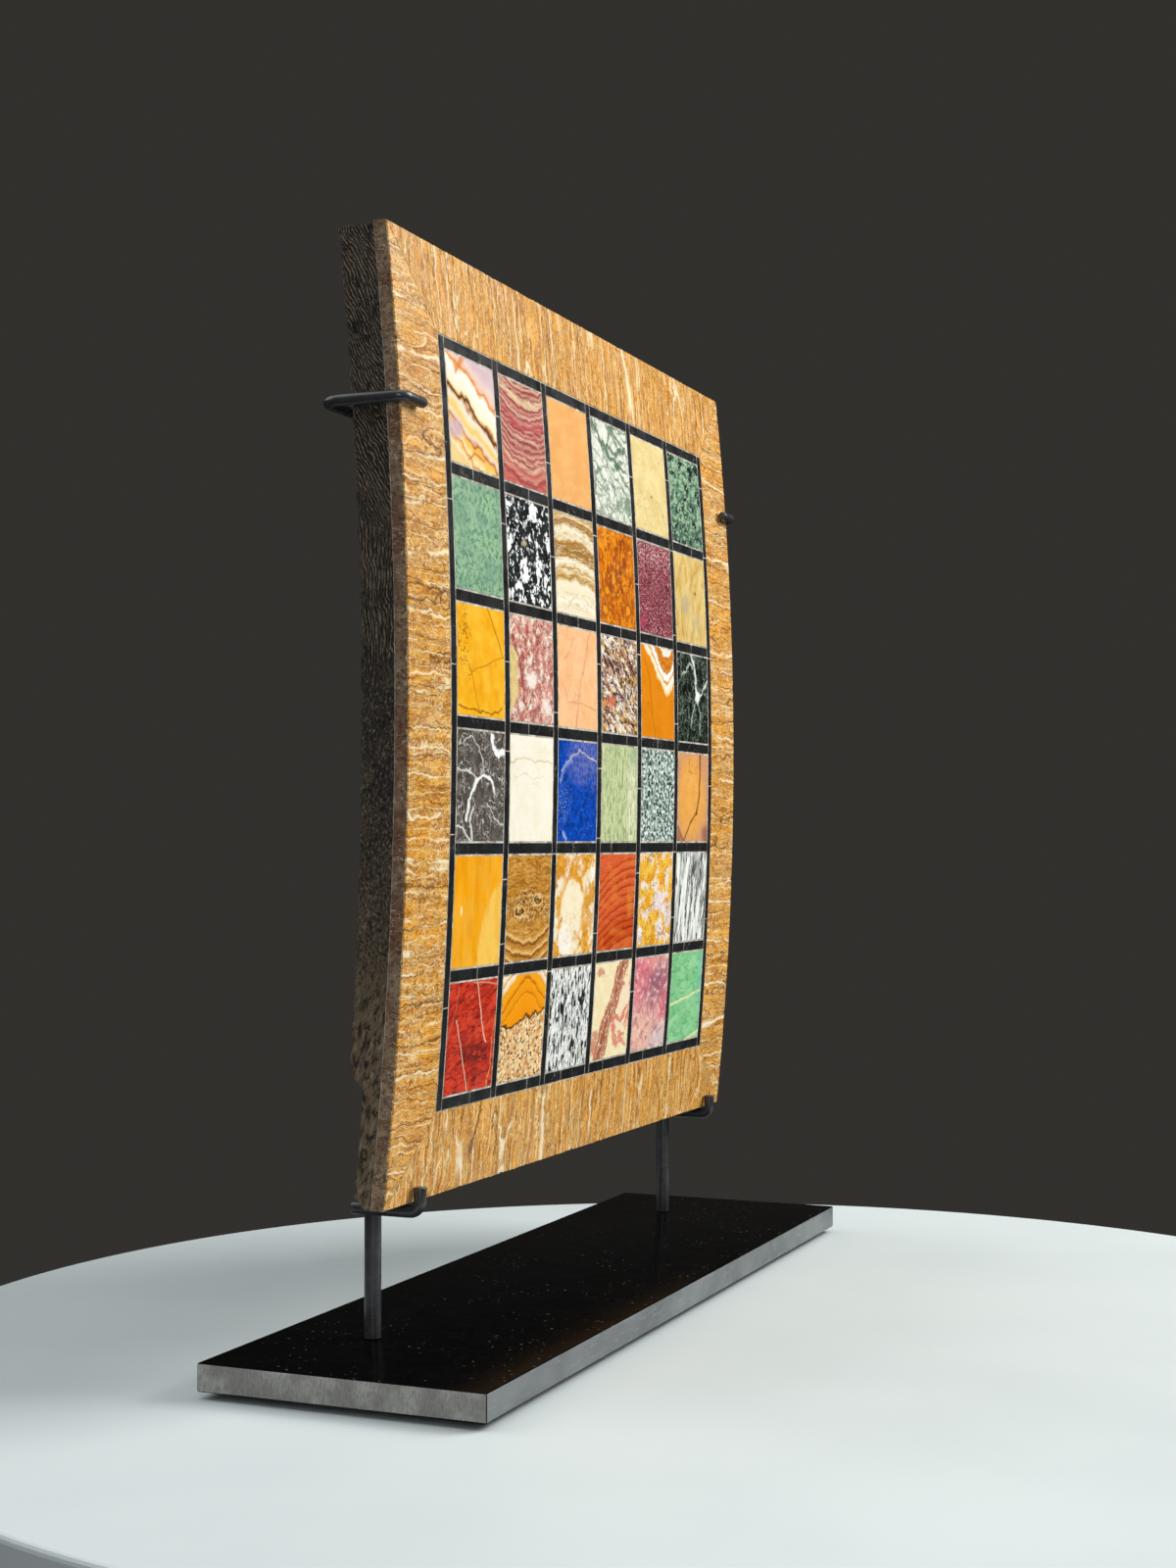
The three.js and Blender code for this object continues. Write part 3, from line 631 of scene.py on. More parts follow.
@recipe("e68a0c")
def orange_chevron_alabaster(s):
    clouds(s, "d47a06", 9, 0.55, 0.15, 0.5, seed=1)
    line(s, "b4620a", "10,12 25,36 27,55 33,75 40,100", 0.7, 0.8, ((0.9, 5),), 0.6)
    depth = level(s, peak=0.85, peak_at=0.76, waves=((1.4, 7), (0.6, 2.6), (0.2, 1.2)))
    strata(s, depth, """
        0 d9cfc4, 12 fbf4e6, 15 f8e6cc, 17 c8640e, 21 e08c22, 26 c4660e, 30 e39a3a, 33 b8600f,
        34.5 fdf9f0, 41 fff9ee, 43 f3d2a2, 44.5 b9681a, 46 f0bd78, 48 fdf4e2, 54 fbe8c8, 56.5 f6d294,
        58 efa030, 60 e0860e, 100 e0860e""", within=s.rise(depth, 0.6, 0.585))
    s.lay("8c4e0c", patch(s, 0.2, 0.63, 0.05, 0.03, 0.6), 0.7)


@recipe("0c120b")
def black_serpentine(s):
    clouds(s, "28362a", 3, 0.57, 0.06, 0.9, seed=1, detail=5)
    clouds(s, "4d6353", 2.2, 0.62, 0.04, 0.8, seed=2, detail=4, within=s.rise(level(s), 0.35, 0.7))
    drawn = s.wobbled((1.8, 6), (0.6, 2))
    veins(s, "7e9284", 7, 0.022, 0.8, broken=0.46, seed=3, place=drawn, detail=2)
    veins(s, "9aab9e", 5, 0.016, 0.8, broken=0.5, seed=6, detail=4)
    net(s, "6d8073", 7, 0.03, 0.7, 0.6, s.rise(s.noise(8, 2, seed=12), 0.46, 0.58), seed=3, place=drawn)
    torn = ((1.2, 4), (0.4, 1.5))
    line(s, "e9f1ea", "46,0 56,16 60,36 66,52", 1.7, 0.6, torn, 0.9)
    line(s, "dfe9e1", "60,42 74,46 86,36 100,27", 1.2, 0.5, torn, 0.9)
    line(s, "c9d4cb", "14,24 30,20 42,10 50,14", 1.1, 0.5, torn, 0.9)
    line(s, "b5c1b8", "12,2 12,30", 0.5, 0.35, torn, 0.8)
    line(s, "bccabf", "66,50 50,62 42,82", 0.8, 0.5, torn, 0.85)
    line(s, "bccabf", "66,50 74,68 72,90", 0.6, 0.4, torn, 0.8)
    s.lay("eef5ef", patch(s, 0.64, 0.48, 0.16, 0.13, 0.25, ((1.4, 2.5),)), 0.95)


print("stones:", len(recipes))

# %% [markdown]
# ## The fourth row
# Here the lapis carries the eye: a deep, mottled blue with a pale lilac cloud and one thin pale line.
# The dark marble beside it has a bold white arch. The granite is nothing but grains, so it is built from
# clouds no larger than a grain, and the tan stone is plain with one dark crack bent like a knee.

# %% Row 4
@recipe("5a534c")
def dark_veined_marble(s):
    clouds(s, "7c756e", 1.1, 0.56, 0.06, 0.6, seed=1, detail=5)
    clouds(s, "352f2b", 6, 0.5, 0.1, 0.6, seed=2, detail=4)
    drawn = s.wobbled((1.6, 6), (0.5, 2))
    veins(s, "d6d2cd", 7, 0.018, 0.9, broken=0.44, seed=3, place=drawn, detail=2)
    veins(s, "bdb9b3", 4.4, 0.018, 0.8, broken=0.48, seed=5, place=drawn, detail=2)
    veins(s, "a8a49e", 2.8, 0.02, 0.7, broken=0.52, seed=9, detail=2)
    bold = ((1.0, 4), (0.3, 1.5))
    line(s, "fbfbf9", "20,82 26,62 37,48 54,40 68,42 80,54",
         1.5, 0.4, bold, 0.95)
    line(s, "ebebe8", "34,70 27,80 34,100", 1.0, 0.35, bold, 0.9)
    line(s, "fbfcfc", "72,3 75,13 86,20 100,17", 2.4, 0.45, bold, 0.97)
    line(s, "e6e6e3", "0,36 14,38 25,36 40,45", 0.7, 0.3, bold, 0.9)
    line(s, "e4e4e1", "0,88 15,87 30,100", 1.0, 0.4, bold, 0.9)
    line(s, "d8d8d5", "64,66 80,78 100,85", 0.6, 0.35, bold, 0.85)
    line(s, "d8d8d5", "10,10 30,5 50,20 55,36", 0.6, 0.35, bold, 0.85)


@recipe("fcf7e6")
def ivory_marble(s):
    clouds(s, "f6ecd0", 8, 0.55, 0.12, 0.5, seed=1, detail=4)
    line(s, "cdb587", "0,25 30,21 60,24 100,23", 0.3, 0.3, ((0.9, 5), (0.3, 2)), 0.8)
    line(s, "dcc9a2", "10,40 30,36 55,41 78,38", 0.3, 0.3, ((1.1, 5), (0.3, 2)), 0.65)
    veins(s, "e3d3b0", 6, 0.014, 0.5, stretch=(3, 0.8), broken=0.52, seed=3)
    clouds(s, "d8c79c", 1.0, 0.7, 0.03, 0.5, seed=4)


@recipe("0244b2")
def lapis_lazuli(s):
    clouds(s, "022a72", 2.2, 0.54, 0.07, 0.8, seed=1, detail=5)
    clouds(s, "1464da", 1.5, 0.57, 0.05, 0.7, seed=2, detail=5)
    haze = patch(s, 0.72, 0.16, 0.85, 0.46, 0.6, ((3, 9), (1, 3)))
    clouds(s, "8d93c6", 1.8, 0.5, 0.08, 0.75, seed=3, within=haze, detail=4)
    s.lay("4f5fb0", haze, 0.5)
    line(s, "d8cfc6", "8,30 30,18 52,10 75,14 100,20", 0.45, 0.35,
         ((0.9, 4), (0.3, 1.5)), 0.85)
    line(s, "9fb0dd", "6,40 14,28 34,17", 1.6, 1.4, ((1.2, 3),), 0.6)
    clouds(s, "9fbdea", 0.7, 0.6, 0.04, 0.8, seed=5, within=patch(s, 0.12, 0.6, 0.36, 0.36, 0.6))
    clouds(s, "c9d8f2", 0.7, 0.72, 0.02, 0.8, seed=6)
    line(s, "b9cbee", "13,90 22,100", 1.0, 0.7, ((0.8, 3),), 0.7)


@recipe("b6c394")
def pale_green_marble(s):
    clouds(s, "d6dca6", 2.8, 0.51, 0.08, 0.8, stretch=(0.6, 2.4), seed=1, detail=5)
    clouds(s, "7f9c66", 2.4, 0.55, 0.06, 0.75, stretch=(0.7, 2), seed=2, detail=5)
    clouds(s, "dfe3c0", 1.1, 0.6, 0.05, 0.7, stretch=(0.8, 1.4), seed=3, detail=4)
    stripe = patch(s, 0.85, 0.55, 0.26, 0.9, 0.6, ((2.0, 4),))
    clouds(s, "eee9cc", 2.0, 0.5, 0.06, 0.95, stretch=(0.7, 1.8), seed=5, within=stripe, detail=4)
    s.lay("8fae88", patch(s, 0.9, 0.1, 0.24, 0.25, 0.5, ((1.5, 4),)), 0.5)


@recipe("a9bfb5")
def grey_granite(s):
    veins(s, "17302b", 3.0, 0.11, 0.97, detail=0, stretch=(1.1, 0.9), turn=25, seed=1)
    clouds(s, "16302b", 2.2, 0.56, 0.03, 0.95, stretch=(1.15, 0.9), turn=-25, seed=3, detail=1)
    clouds(s, "eef7f2", 1.9, 0.56, 0.03, 0.95, seed=4, detail=1)
    clouds(s, "54716a", 1.2, 0.6, 0.04, 0.5, seed=6, detail=2)


@recipe("eaa650")
def tan_cracked_marble(s):
    clouds(s, "f4b65c", 10, 0.52, 0.15, 0.7, seed=1)
    rim = s.math("SUBTRACT", 1.0, patch(s, 0.45, 0.5, 0.85, 0.95, 0.3))
    s.lay("cb9678", rim, 0.75)
    s.lay("8d5546", patch(s, 0.02, 0.98, 0.3, 0.25, 0.6), 0.8)
    s.lay("8d5546", patch(s, 0.96, 0.92, 0.28, 0.22, 0.6), 0.8)
    line(s, "62300f", "72,0 72,25 69,50 62,68", 1.5, 0.9, ((0.5, 4),), 0.9)
    line(s, "6d3812", "64,66 40,80 22,98", 1.0, 0.6, ((0.6, 4),), 0.9)
    line(s, "8a5040", "0,84 14,94 24,100", 1.4, 0.9, ((0.6, 4),), 0.8)
    veins(s, "9a5a24", 5, 0.025, 0.6, broken=0.56, seed=4)
    line(s, "a8682e", "36,6 36,20 46,24", 0.9, 0.7, ((1.0, 3),), 0.6)


print("stones:", len(recipes))

# %% [markdown]
# ## The fifth row
# The honey marble has a second, paler body in its lower right corner. The burl stone was chosen because
# it looks like wood: fibres that part round two small eyes. The brick red one shows a fan of curved
# layers, and the grey one is drawn out in streaks.

# %% Row 5
@recipe("fba806")
def honey_marble(s):
    clouds(s, "fdba38", 7, 0.54, 0.1, 0.6, stretch=(0.8, 4), seed=1, detail=4)
    clouds(s, "e8960a", 8, 0.54, 0.1, 0.6, stretch=(1, 3), seed=2, detail=4)
    s.lay("fbcb5c", patch(s, 1.05, 1.05, 1.06, 1.6, 0.04, ((1.2, 10), (0.4, 3)), 0), 0.95)
    clouds(s, "eeb23c", 5, 0.56, 0.08, 0.5, stretch=(0.8, 2), seed=4)
    s.lay("fff0b8", patch(s, 0.16, 0.49, 0.035, 0.09, 0.3, None), 0.9)


@recipe("bf8028")
def burl_alabaster(s):
    fibres = s.wobbled((1.3, 8), (0.5, 2.4))
    clouds(s, "d9a24e", 1.5, 0.5, 0.06, 0.7, stretch=(9, 0.8), seed=1, place=fibres, detail=2)
    clouds(s, "8f5714", 1.3, 0.55, 0.05, 0.75, stretch=(9, 0.7), seed=2, place=fibres, detail=2)
    clouds(s, "e9c078", 1.1, 0.61, 0.04, 0.6, stretch=(8, 0.7), seed=9, place=fibres, detail=2)
    curls = patch(s, 0.5, 0.5, 0.95, 0.3, 0.25, ((2.4, 5),))
    s.lay("a56a20", curls, 0.6)
    veins(s, "f3ce8c", 2.2, 0.07, 0.9, detail=2, seed=3, within=curls, stretch=(1.6, 0.8))
    veins(s, "5a2f08", 2.6, 0.05, 0.8, detail=2, seed=5, within=curls, stretch=(1.6, 0.8))
    for u, v, wide in ((0.3, 0.54, 0.24), (0.7, 0.43, 0.22)):
        s.lay("f0c884", patch(s, u, v, wide, 0.13, 0.15, ((1.6, 3), (0.6, 1.5))), 0.9)
        s.lay("4f2806", patch(s, u, v, wide * 0.72, 0.08, 0.2, ((1.6, 3), (0.6, 1.5))), 0.95)
        s.lay("c08a40", patch(s, u, v, wide * 0.3, 0.03, 0.3, ((1.6, 3), (0.6, 1.5))), 0.8)
    depth = level(s, bend=0.5, bend_at=0.45, waves=((0.9, 6), (0.3, 2)))
    low = s.rise(depth, 0.76, 0.82)
    strata(s, s.math("FRACT", s.math("MULTIPLY", depth, 9)), """
        0 b87a2c, 30 e3b464, 42 f3d08c, 55 a8691f, 72 6a3a0c, 86 c58a3a, 100 b87a2c""", 0.85, within=low)


@recipe("f7e8c0")
def amber_cloud_alabaster(s):
    clouds(s, "fdf8ec", 6, 0.5, 0.1, 0.8, seed=1)
    warm = s.rise(s.noise(9, 4, seed=12, place=s.wobbled((2, 6), (0.8, 2))), 0.43, 0.55)
    s.lay("f0ae34", warm, 0.95)
    clouds(s, "d68e10", 3.2, 0.52, 0.06, 0.9, seed=3, detail=5, within=warm)
    veins(s, "a86a14", 3.4, 0.03, 0.8, seed=9, within=warm, detail=3)
    ring = patch(s, 0.42, 0.55, 0.66, 0.68, 0.14, ((1.8, 5), (0.6, 2)))
    s.lay("e8a22c", ring, 0.8)
    s.lay("fcf0d0", patch(s, 0.42, 0.55, 0.56, 0.58, 0.12, ((1.8, 5), (0.6, 2))), 0.97)
    s.lay("fdf8ec", patch(s, 0.27, 0.86, 0.34, 0.28, 0.15, ((1.6, 5),)), 0.95)
    veins(s, "dba858", 4, 0.02, 0.7, broken=0.5, seed=5, detail=4)
    s.lay("b98034", patch(s, 0.17, 0.64, 0.07, 0.06, 0.5), 0.8)
    s.lay("cf9a58", patch(s, 0.5, 0.77, 0.09, 0.07, 0.5), 0.7)
    clouds(s, "d9902a", 2.6, 0.5, 0.07, 0.85, seed=7, within=patch(s, 0.35, 0.13, 0.7, 0.26, 0.5), detail=4)
    clouds(s, "df9c3a", 2.6, 0.48, 0.07, 0.85, seed=8, within=patch(s, 0.86, 0.52, 0.26, 0.6, 0.5), detail=4)


@recipe("dc5a2a")
def brick_red_marble(s):
    depth = level(s, bend=-0.26, bend_at=1.0, waves=((0.6, 11), (0.16, 3)))
    strata(s, depth, """
        0 dd6236, 4.5 d6582a, 6 b23c14, 7.5 e46c38, 13 d9602e, 15 ac3810, 17 e67040, 22 cf5424,
        23.5 ab360f, 26 e46e3a, 30 d65a28, 32 a6340f, 34 e2683a, 39 d45a2a, 41 b23c12, 43 e46c38,
        49 cd5020, 50.5 a3300c, 52.5 e0663a, 58 cf5222, 60 9f2d0a, 62 d85e2e, 66.5 c84a1c, 68 932708,
        70 d4581e, 75 bd4216, 77 8f2608, 79 d25420, 85 c2481a, 87 9c2c0c, 89 dc6a30, 100 c64e20""")
    clouds(s, "ea8a3c", 7, 0.57, 0.08, 0.4, stretch=(1.4, 0.8), seed=2)
    s.lay("d98a2c", patch(s, 0.84, 0.52, 0.12, 0.3, 0.6), 0.4)
    clouds(s, "9c2e10", 0.9, 0.6, 0.06, 0.35, stretch=(9, 0.8), seed=4, detail=2)


@recipe("f3b93c")
def gold_breccia(s):
    crushed = s.wobbled((2.0, 5), (0.6, 2))
    clouds(s, "f9cb52", 7, 0.5, 0.08, 0.9, seed=1, detail=4)
    clouds(s, "e89a18", 5, 0.54, 0.06, 0.8, seed=2, detail=5)
    clouds(s, "f5ebe2", 7, 0.56, 0.025, 0.95, seed=4, detail=3, place=crushed)
    s.lay("f4eaee", patch(s, 0.6, 0.52, 0.3, 0.22, 0.2, ((2, 4),)), 0.9)
    s.lay("e9dcd9", patch(s, 0.9, 0.66, 0.26, 0.26, 0.2, ((2, 4),)), 0.85)
    s.lay("f1e4e0", patch(s, 0.66, 0.86, 0.26, 0.18, 0.2, ((2, 4),)), 0.85)
    s.lay("f8f3f4", patch(s, 0.06, 0.88, 0.2, 0.16, 0.2, ((1.6, 4),)), 0.95)
    net(s, "8d4a1e", 7.5, 0.03, 0.7, 0.75, s.rise(s.noise(8, 2, seed=11), 0.44, 0.54), seed=3, place=crushed)
    veins(s, "96552a", 4.4, 0.025, 0.8, broken=0.48, seed=6, detail=4)
    clouds(s, "b8781e", 1.2, 0.62, 0.04, 0.6, seed=8, detail=4)


@recipe("e6e9e2")
def grey_streaked_marble(s):
    drawn = s.wobbled((1.0, 11), (0.3, 3))
    clouds(s, "a4aaa7", 3.4, 0.5, 0.05, 0.9, stretch=(0.62, 6.5), turn=8, seed=1, place=drawn, detail=3)
    clouds(s, "3e4746", 3.2, 0.56, 0.035, 0.95, stretch=(0.62, 6), turn=8, seed=2, place=drawn, detail=3)
    clouds(s, "fcfdf8", 3.8, 0.54, 0.035, 0.95, stretch=(0.7, 6), turn=8, seed=4, place=drawn, detail=3)
    for u, v, wide, high in ((0.56, 0.24, 0.2, 0.4), (0.8, 0.2, 0.2, 0.4), (0.9, 0.62, 0.14, 0.4),
                             (0.08, 0.86, 0.16, 0.24)):
        clouds(s, "39423f", 2.2, 0.47, 0.05, 0.92, stretch=(0.6, 4), turn=8, seed=7,
               within=patch(s, u, v, wide, high, 0.5, ((1.8, 4),)), place=drawn)


print("stones:", len(recipes))

# %% [markdown]
# ## The last row
# Red jasper is cut by thin white lines. The landscape stone is a small picture in itself: a pale sky, an
# orange hill and speckled ground below a dark outline. The last squares are a dashed black and white
# marble, a cream one with a brick-brown river, a clouded mauve, and a mint green with one pale streak.

# %% Row 6
@recipe("d83e26")
def red_jasper(s):
    clouds(s, "b32c1e", 3.4, 0.52, 0.07, 0.8, stretch=(2.0, 0.8), turn=-12, seed=1, detail=5)
    clouds(s, "e8563a", 3.8, 0.57, 0.06, 0.55, stretch=(1.8, 0.8), turn=-12, seed=3, detail=4)
    clouds(s, "5c1a1a", 2.8, 0.6, 0.04, 0.75, stretch=(2.6, 0.5), turn=-14, seed=2, detail=5)
    clouds(s, "4c1a20", 3.2, 0.45, 0.08, 0.7, stretch=(2.2, 0.7), seed=8, detail=4,
           within=patch(s, 0.55, 0.66, 0.7, 0.3, 0.7, ((2.4, 6),), turn=12))
    veins(s, "430e10", 3.6, 0.026, 0.85, stretch=(2.2, 0.8), turn=-12, broken=0.42, seed=7, detail=3)
    veins(s, "6a1814", 2.4, 0.026, 0.6, stretch=(2.0, 0.8), turn=-12, broken=0.5, seed=11, detail=3)
    line(s, "eec0a8", "56,0 66,26 74,48 82,58", 0.8, 0.35, ((0.4, 4),), 0.95)
    line(s, "e6b49c", "17,33 30,60 48,100", 0.7, 0.3, ((0.4, 5),), 0.95)
    line(s, "c07464", "20,4 14,28 0,50", 0.5, 0.35, ((0.4, 4),), 0.8)
    line(s, "e88850", "100,34 93,60 94,80 87,100", 0.6, 0.35, ((0.9, 3),), 0.9)
    line(s, "dc9c7c", "50,2 80,3 100,6", 0.5, 0.35, ((0.3, 5),), 0.8)


@recipe("ecba78")
def landscape_stone(s):
    clouds(s, "f8dca8", 2.4, 0.5, 0.06, 0.85, seed=1, detail=4)
    clouds(s, "cf8f50", 6, 0.54, 0.08, 0.7, seed=2)
    clouds(s, "70401c", 1.5, 0.575, 0.03, 0.92, stretch=(1.3, 0.8), turn=-20, seed=3, detail=2)
    clouds(s, "fff0c8", 1.5, 0.58, 0.04, 0.9, seed=5, detail=2)
    horizon = level(s, slope=-0.14, waves=((1.8, 6), (0.5, 2)))
    above = s.rise(horizon, 0.43, 0.42)
    fold = level(s, peak=-0.62, peak_at=0.55, waves=((0.9, 6), (0.3, 2)))
    sky = s.math("ADD", fold, 0.36)
    strata(s, sky, """
        0 fdf6e6, 10 fbe8c4, 13 e0a050, 15 fdf3de, 20 fad69a, 23 e89a2c, 25 fbae20, 33 f9a010, 36 b8660c,
        37.5 fba214, 46 f69a0e, 47.5 c2700c, 49 fba214, 80 f28e08, 100 e08006""", within=above)
    edge = s.math("ABSOLUTE", s.math("SUBTRACT", horizon, 0.425))
    s.lay("5a320e", s.rise(edge, 0.022, 0.006), 0.95)


@recipe("eceeea")
def dashed_marble(s):
    clouds(s, "c3cbc9", 2.6, 0.55, 0.06, 0.6, stretch=(0.8, 1.6), turn=4, seed=1, detail=4)
    clouds(s, "fcfefc", 2.6, 0.53, 0.05, 0.85, seed=4)
    clouds(s, "0f1416", 2.1, 0.565, 0.018, 0.99, stretch=(0.62, 1.9), turn=3, seed=2, detail=2)
    clouds(s, "14191b", 3.2, 0.595, 0.018, 0.99, stretch=(0.75, 1.9), turn=4, seed=5, detail=2)
    clouds(s, "59676a", 1.3, 0.62, 0.04, 0.5, stretch=(0.8, 1.6), turn=4, seed=6)
    clouds(s, "14191b", 2.2, 0.46, 0.03, 0.98, stretch=(0.8, 1.4), seed=8,
           within=patch(s, 0.85, 0.36, 0.24, 0.26, 0.4, ((1.5, 3),)))


@recipe("f8e6b6")
def brick_veined_marble(s):
    clouds(s, "fbf0cc", 5, 0.52, 0.1, 0.8, seed=1, detail=4)
    veins(s, "c98c68", 5, 0.016, 0.6, broken=0.5, seed=2, detail=4)
    torn = ((1.6, 6), (0.8, 2.2), (0.3, 0.9))
    cloud = patch(s, 0.8, 0.52, 0.46, 0.78, 0.07, torn, turn=28)
    s.lay("de7864", cloud, 0.9, s.rise(s.noise(5, 3, seed=9), 0.4, 0.47))
    s.lay("f8e6c6", patch(s, 0.8, 0.5, 0.3, 0.56, 0.1, torn, turn=28), 0.95)
    line(s, "dd7862", "60,56 76,62 92,50", 2.6, 0.35, torn, 0.9)
    line(s, "e4907a", "66,90 80,80 97,90", 2.0, 0.35, torn, 0.85)
    steep = level(s, slope=-1.6, waves=((1.8, 12), (0.9, 4), (0.3, 1.2)))
    across = s.math("MULTIPLY_ADD", steep, 1 / 2.6, 0.31)
    band = s.math("MULTIPLY", s.rise(across, 0.405, 0.42), s.rise(across, 0.585, 0.57))
    strata(s, across, """
        0 b5624a, 42 d59478, 43.2 a3543c, 45 bb6f56, 45.7 e0b392, 46.6 a85a42, 49 94472f, 51.2 b66a50,
        51.9 cf9678, 52.7 a04e36, 54.8 b9705a, 55.6 e6c3a2, 56.6 a85a42, 100 b5624a""", 0.95, within=band)
    s.lay("cb7a64", patch(s, 0.07, 0.82, 0.2, 0.24, 0.2, torn), 0.8)
    s.lay("c46e58", patch(s, 0.16, 0.1, 0.2, 0.1, 0.2, torn), 0.75)
    clouds(s, "fdeed2", 1.6, 0.61, 0.04, 0.7, seed=5, detail=4)


@recipe("e2a09c")
def mauve_marble(s):
    s.lay("e8808c", patch(s, 0.18, 0.2, 0.75, 0.55, 0.7, ((3.5, 8),)), 0.9)
    s.lay("8b5670", patch(s, 0.7, 0.3, 0.7, 0.36, 0.7, ((3.5, 7),), turn=-20), 0.85)
    s.lay("f3c2ac", patch(s, 0.3, 0.85, 0.75, 0.42, 0.7, ((3.5, 7),)), 0.85)
    s.lay("d3cac9", patch(s, 0.82, 0.92, 0.55, 0.3, 0.7, ((3.5, 7),)), 0.9)
    s.lay("d9647c", patch(s, 0.92, 0.48, 0.24, 0.44, 0.7, ((3, 5),)), 0.8)
    clouds(s, "a2526a", 3.6, 0.56, 0.07, 0.55, seed=3, detail=5)
    clouds(s, "fbdcd2", 2.8, 0.57, 0.06, 0.65, seed=4, detail=5)
    veins(s, "86445a", 4, 0.022, 0.6, broken=0.5, seed=6, detail=4)


@recipe("84c98c")
def mint_marble(s):
    clouds(s, "a0dca6", 6, 0.52, 0.12, 0.8, stretch=(2, 1), seed=1, detail=4)
    clouds(s, "58ac76", 2.4, 0.57, 0.06, 0.65, stretch=(2, 0.8), seed=2, detail=5)
    s.lay("5cbcaa", patch(s, 0.96, 0.35, 0.24, 0.7, 0.6), 0.45)
    line(s, "e8e8b2", "2,57 40,53 100,46", 1.0, 0.3, ((0.3, 6), (0.15, 1.5)), 0.95)
    line(s, "e9e4b0", "60,100 80,97 100,93", 1.4, 0.4, ((0.3, 6),), 0.9)
    veins(s, "3d8a60", 4, 0.015, 0.6, broken=0.52, seed=5, detail=4)
    clouds(s, "dff2d6", 0.8, 0.68, 0.03, 0.6, seed=6)


print("stones:", len(recipes))

# %% [markdown]
# ## Cutting the squares
# Each square was sawn and ground by hand, then the whole face was polished as one. So a square follows
# the bow of the face exactly, its front edges are eased by a hair, and its outline wanders by about a
# tenth of a millimetre. A grid of points gives all of that, where a scaled cube would look machined.

# %% Bowed blocks
FACING_THICKNESS = 5.2 * MM
EASE = 0.18 * MM
TRIM = 0.08 * MM
WANDER = 0.07 * MM
WANDER_OVER = 4 * MM


def eased_lines(low, high, step):
    """Grid lines about a step apart, with one close to each end where the edge is eased."""
    return [low, low + EASE] + spread(low + EASE, high - EASE, step)[1:-1] + [high - EASE, high]


def bowed_block(left, right, bottom, top, step, thickness, seed):
    """Points and faces of a rectangular piece whose front follows the face."""
    xs, zs = eased_lines(left, right, step), eased_lines(bottom, top, step)
    points, faces = [], []
    columns, rows = len(xs), len(zs)
    last, highest = columns - 1, rows - 1
    for layer in (0, 1):
        for j, z in enumerate(zs):
            for i, x in enumerate(xs):
                px, pz = x, z
                if i in (0, last):
                    px += WANDER * noise.noise(Vector((seed, z / WANDER_OVER, i)))
                if j in (0, highest):
                    pz += WANDER * noise.noise(Vector((x / WANDER_OVER, seed, j)))
                outer = i in (0, last) or j in (0, highest)
                depth = thickness if layer else (EASE if outer else 0)
                points.append((px, face_y(pz) + depth, pz))

    def quad(*corners):
        faces.append(tuple((layer * rows + j) * columns + i for layer, i, j in corners))

    for j in range(highest):
        for i in range(last):
            quad((0, i, j), (0, i + 1, j), (0, i + 1, j + 1), (0, i, j + 1))
            quad((1, i, j), (1, i, j + 1), (1, i + 1, j + 1), (1, i + 1, j))
    for i in range(last):
        quad((0, i, 0), (1, i, 0), (1, i + 1, 0), (0, i + 1, 0))
        quad((0, i, highest), (0, i + 1, highest), (1, i + 1, highest), (1, i, highest))
    for j in range(highest):
        quad((0, 0, j), (0, 0, j + 1), (1, 0, j + 1), (1, 0, j))
        quad((0, last, j), (1, last, j), (1, last, j + 1), (0, last, j + 1))
    return points, faces


TILE_STEP = 4 * MM
tile_nodes = sorted(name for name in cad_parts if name.startswith("tile_"))
for number, node in enumerate(tile_nodes):
    stone_name = node.split("_", 3)[3]
    low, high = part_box(node)
    ground, lay_over = recipes[stone_name]
    stone = Stone(stone_name, ground)
    lay_over(stone)
    material = stone.finish(gloss=(0.2, 0.34))
    points, faces = bowed_block(low[0] + TRIM, high[0] - TRIM, low[2] + TRIM, high[2] - TRIM,
                                TILE_STEP, FACING_THICKNESS, number)
    middle = (low[2] + high[2]) / 2
    centre = ((low[0] + high[0]) / 2, face_y(middle), middle)
    make_piece("specimen_" + node[5:], points, faces, [material], [node], centre)
print("squares cut:", len(tile_nodes))

# %% [markdown]
# ## The black lattice
# The bands between the squares are strips of black marble. Up and down they run in chains of short
# lengths, and from left to right one or two pieces fill the way between the chains. The joints fall at
# uneven places, as they do when a mason uses up offcuts. All strips are one piece here, because they
# stand for one solid.

# %% Black bands
BAND = 4.4 * MM
JOINT = 0.3 * MM
PITCH = 45.3 * MM
ROWS = 6
OFFCUT_LENGTHS = (24, 62)
SHORTEST_OFFCUT = 14 * MM
CUT_IN_TWO = 0.45

black = Stone("black_marble", "1d1e20")
clouds(black, "2b2c2e", 9, 0.55, 0.1, 0.7, seed=1)
clouds(black, "0f1011", 2, 0.55, 0.1, 0.5, seed=2)
veins(black, "77756f", 16, 0.006, 0.75, broken=0.54, seed=3)
veins(black, "8d8a83", 7, 0.006, 0.5, broken=0.6, seed=5)
black_marble = black.finish(gloss=(0.2, 0.36))

offcuts = random.Random(36)
points, faces = [], []


def add_strip(left, right, bottom, top, seed):
    more_points, more_faces = bowed_block(left, right, bottom, top, TILE_STEP, FACING_THICKNESS, seed)
    start = len(points)
    points.extend(more_points)
    faces.extend(tuple(i + start for i in face) for face in more_faces)


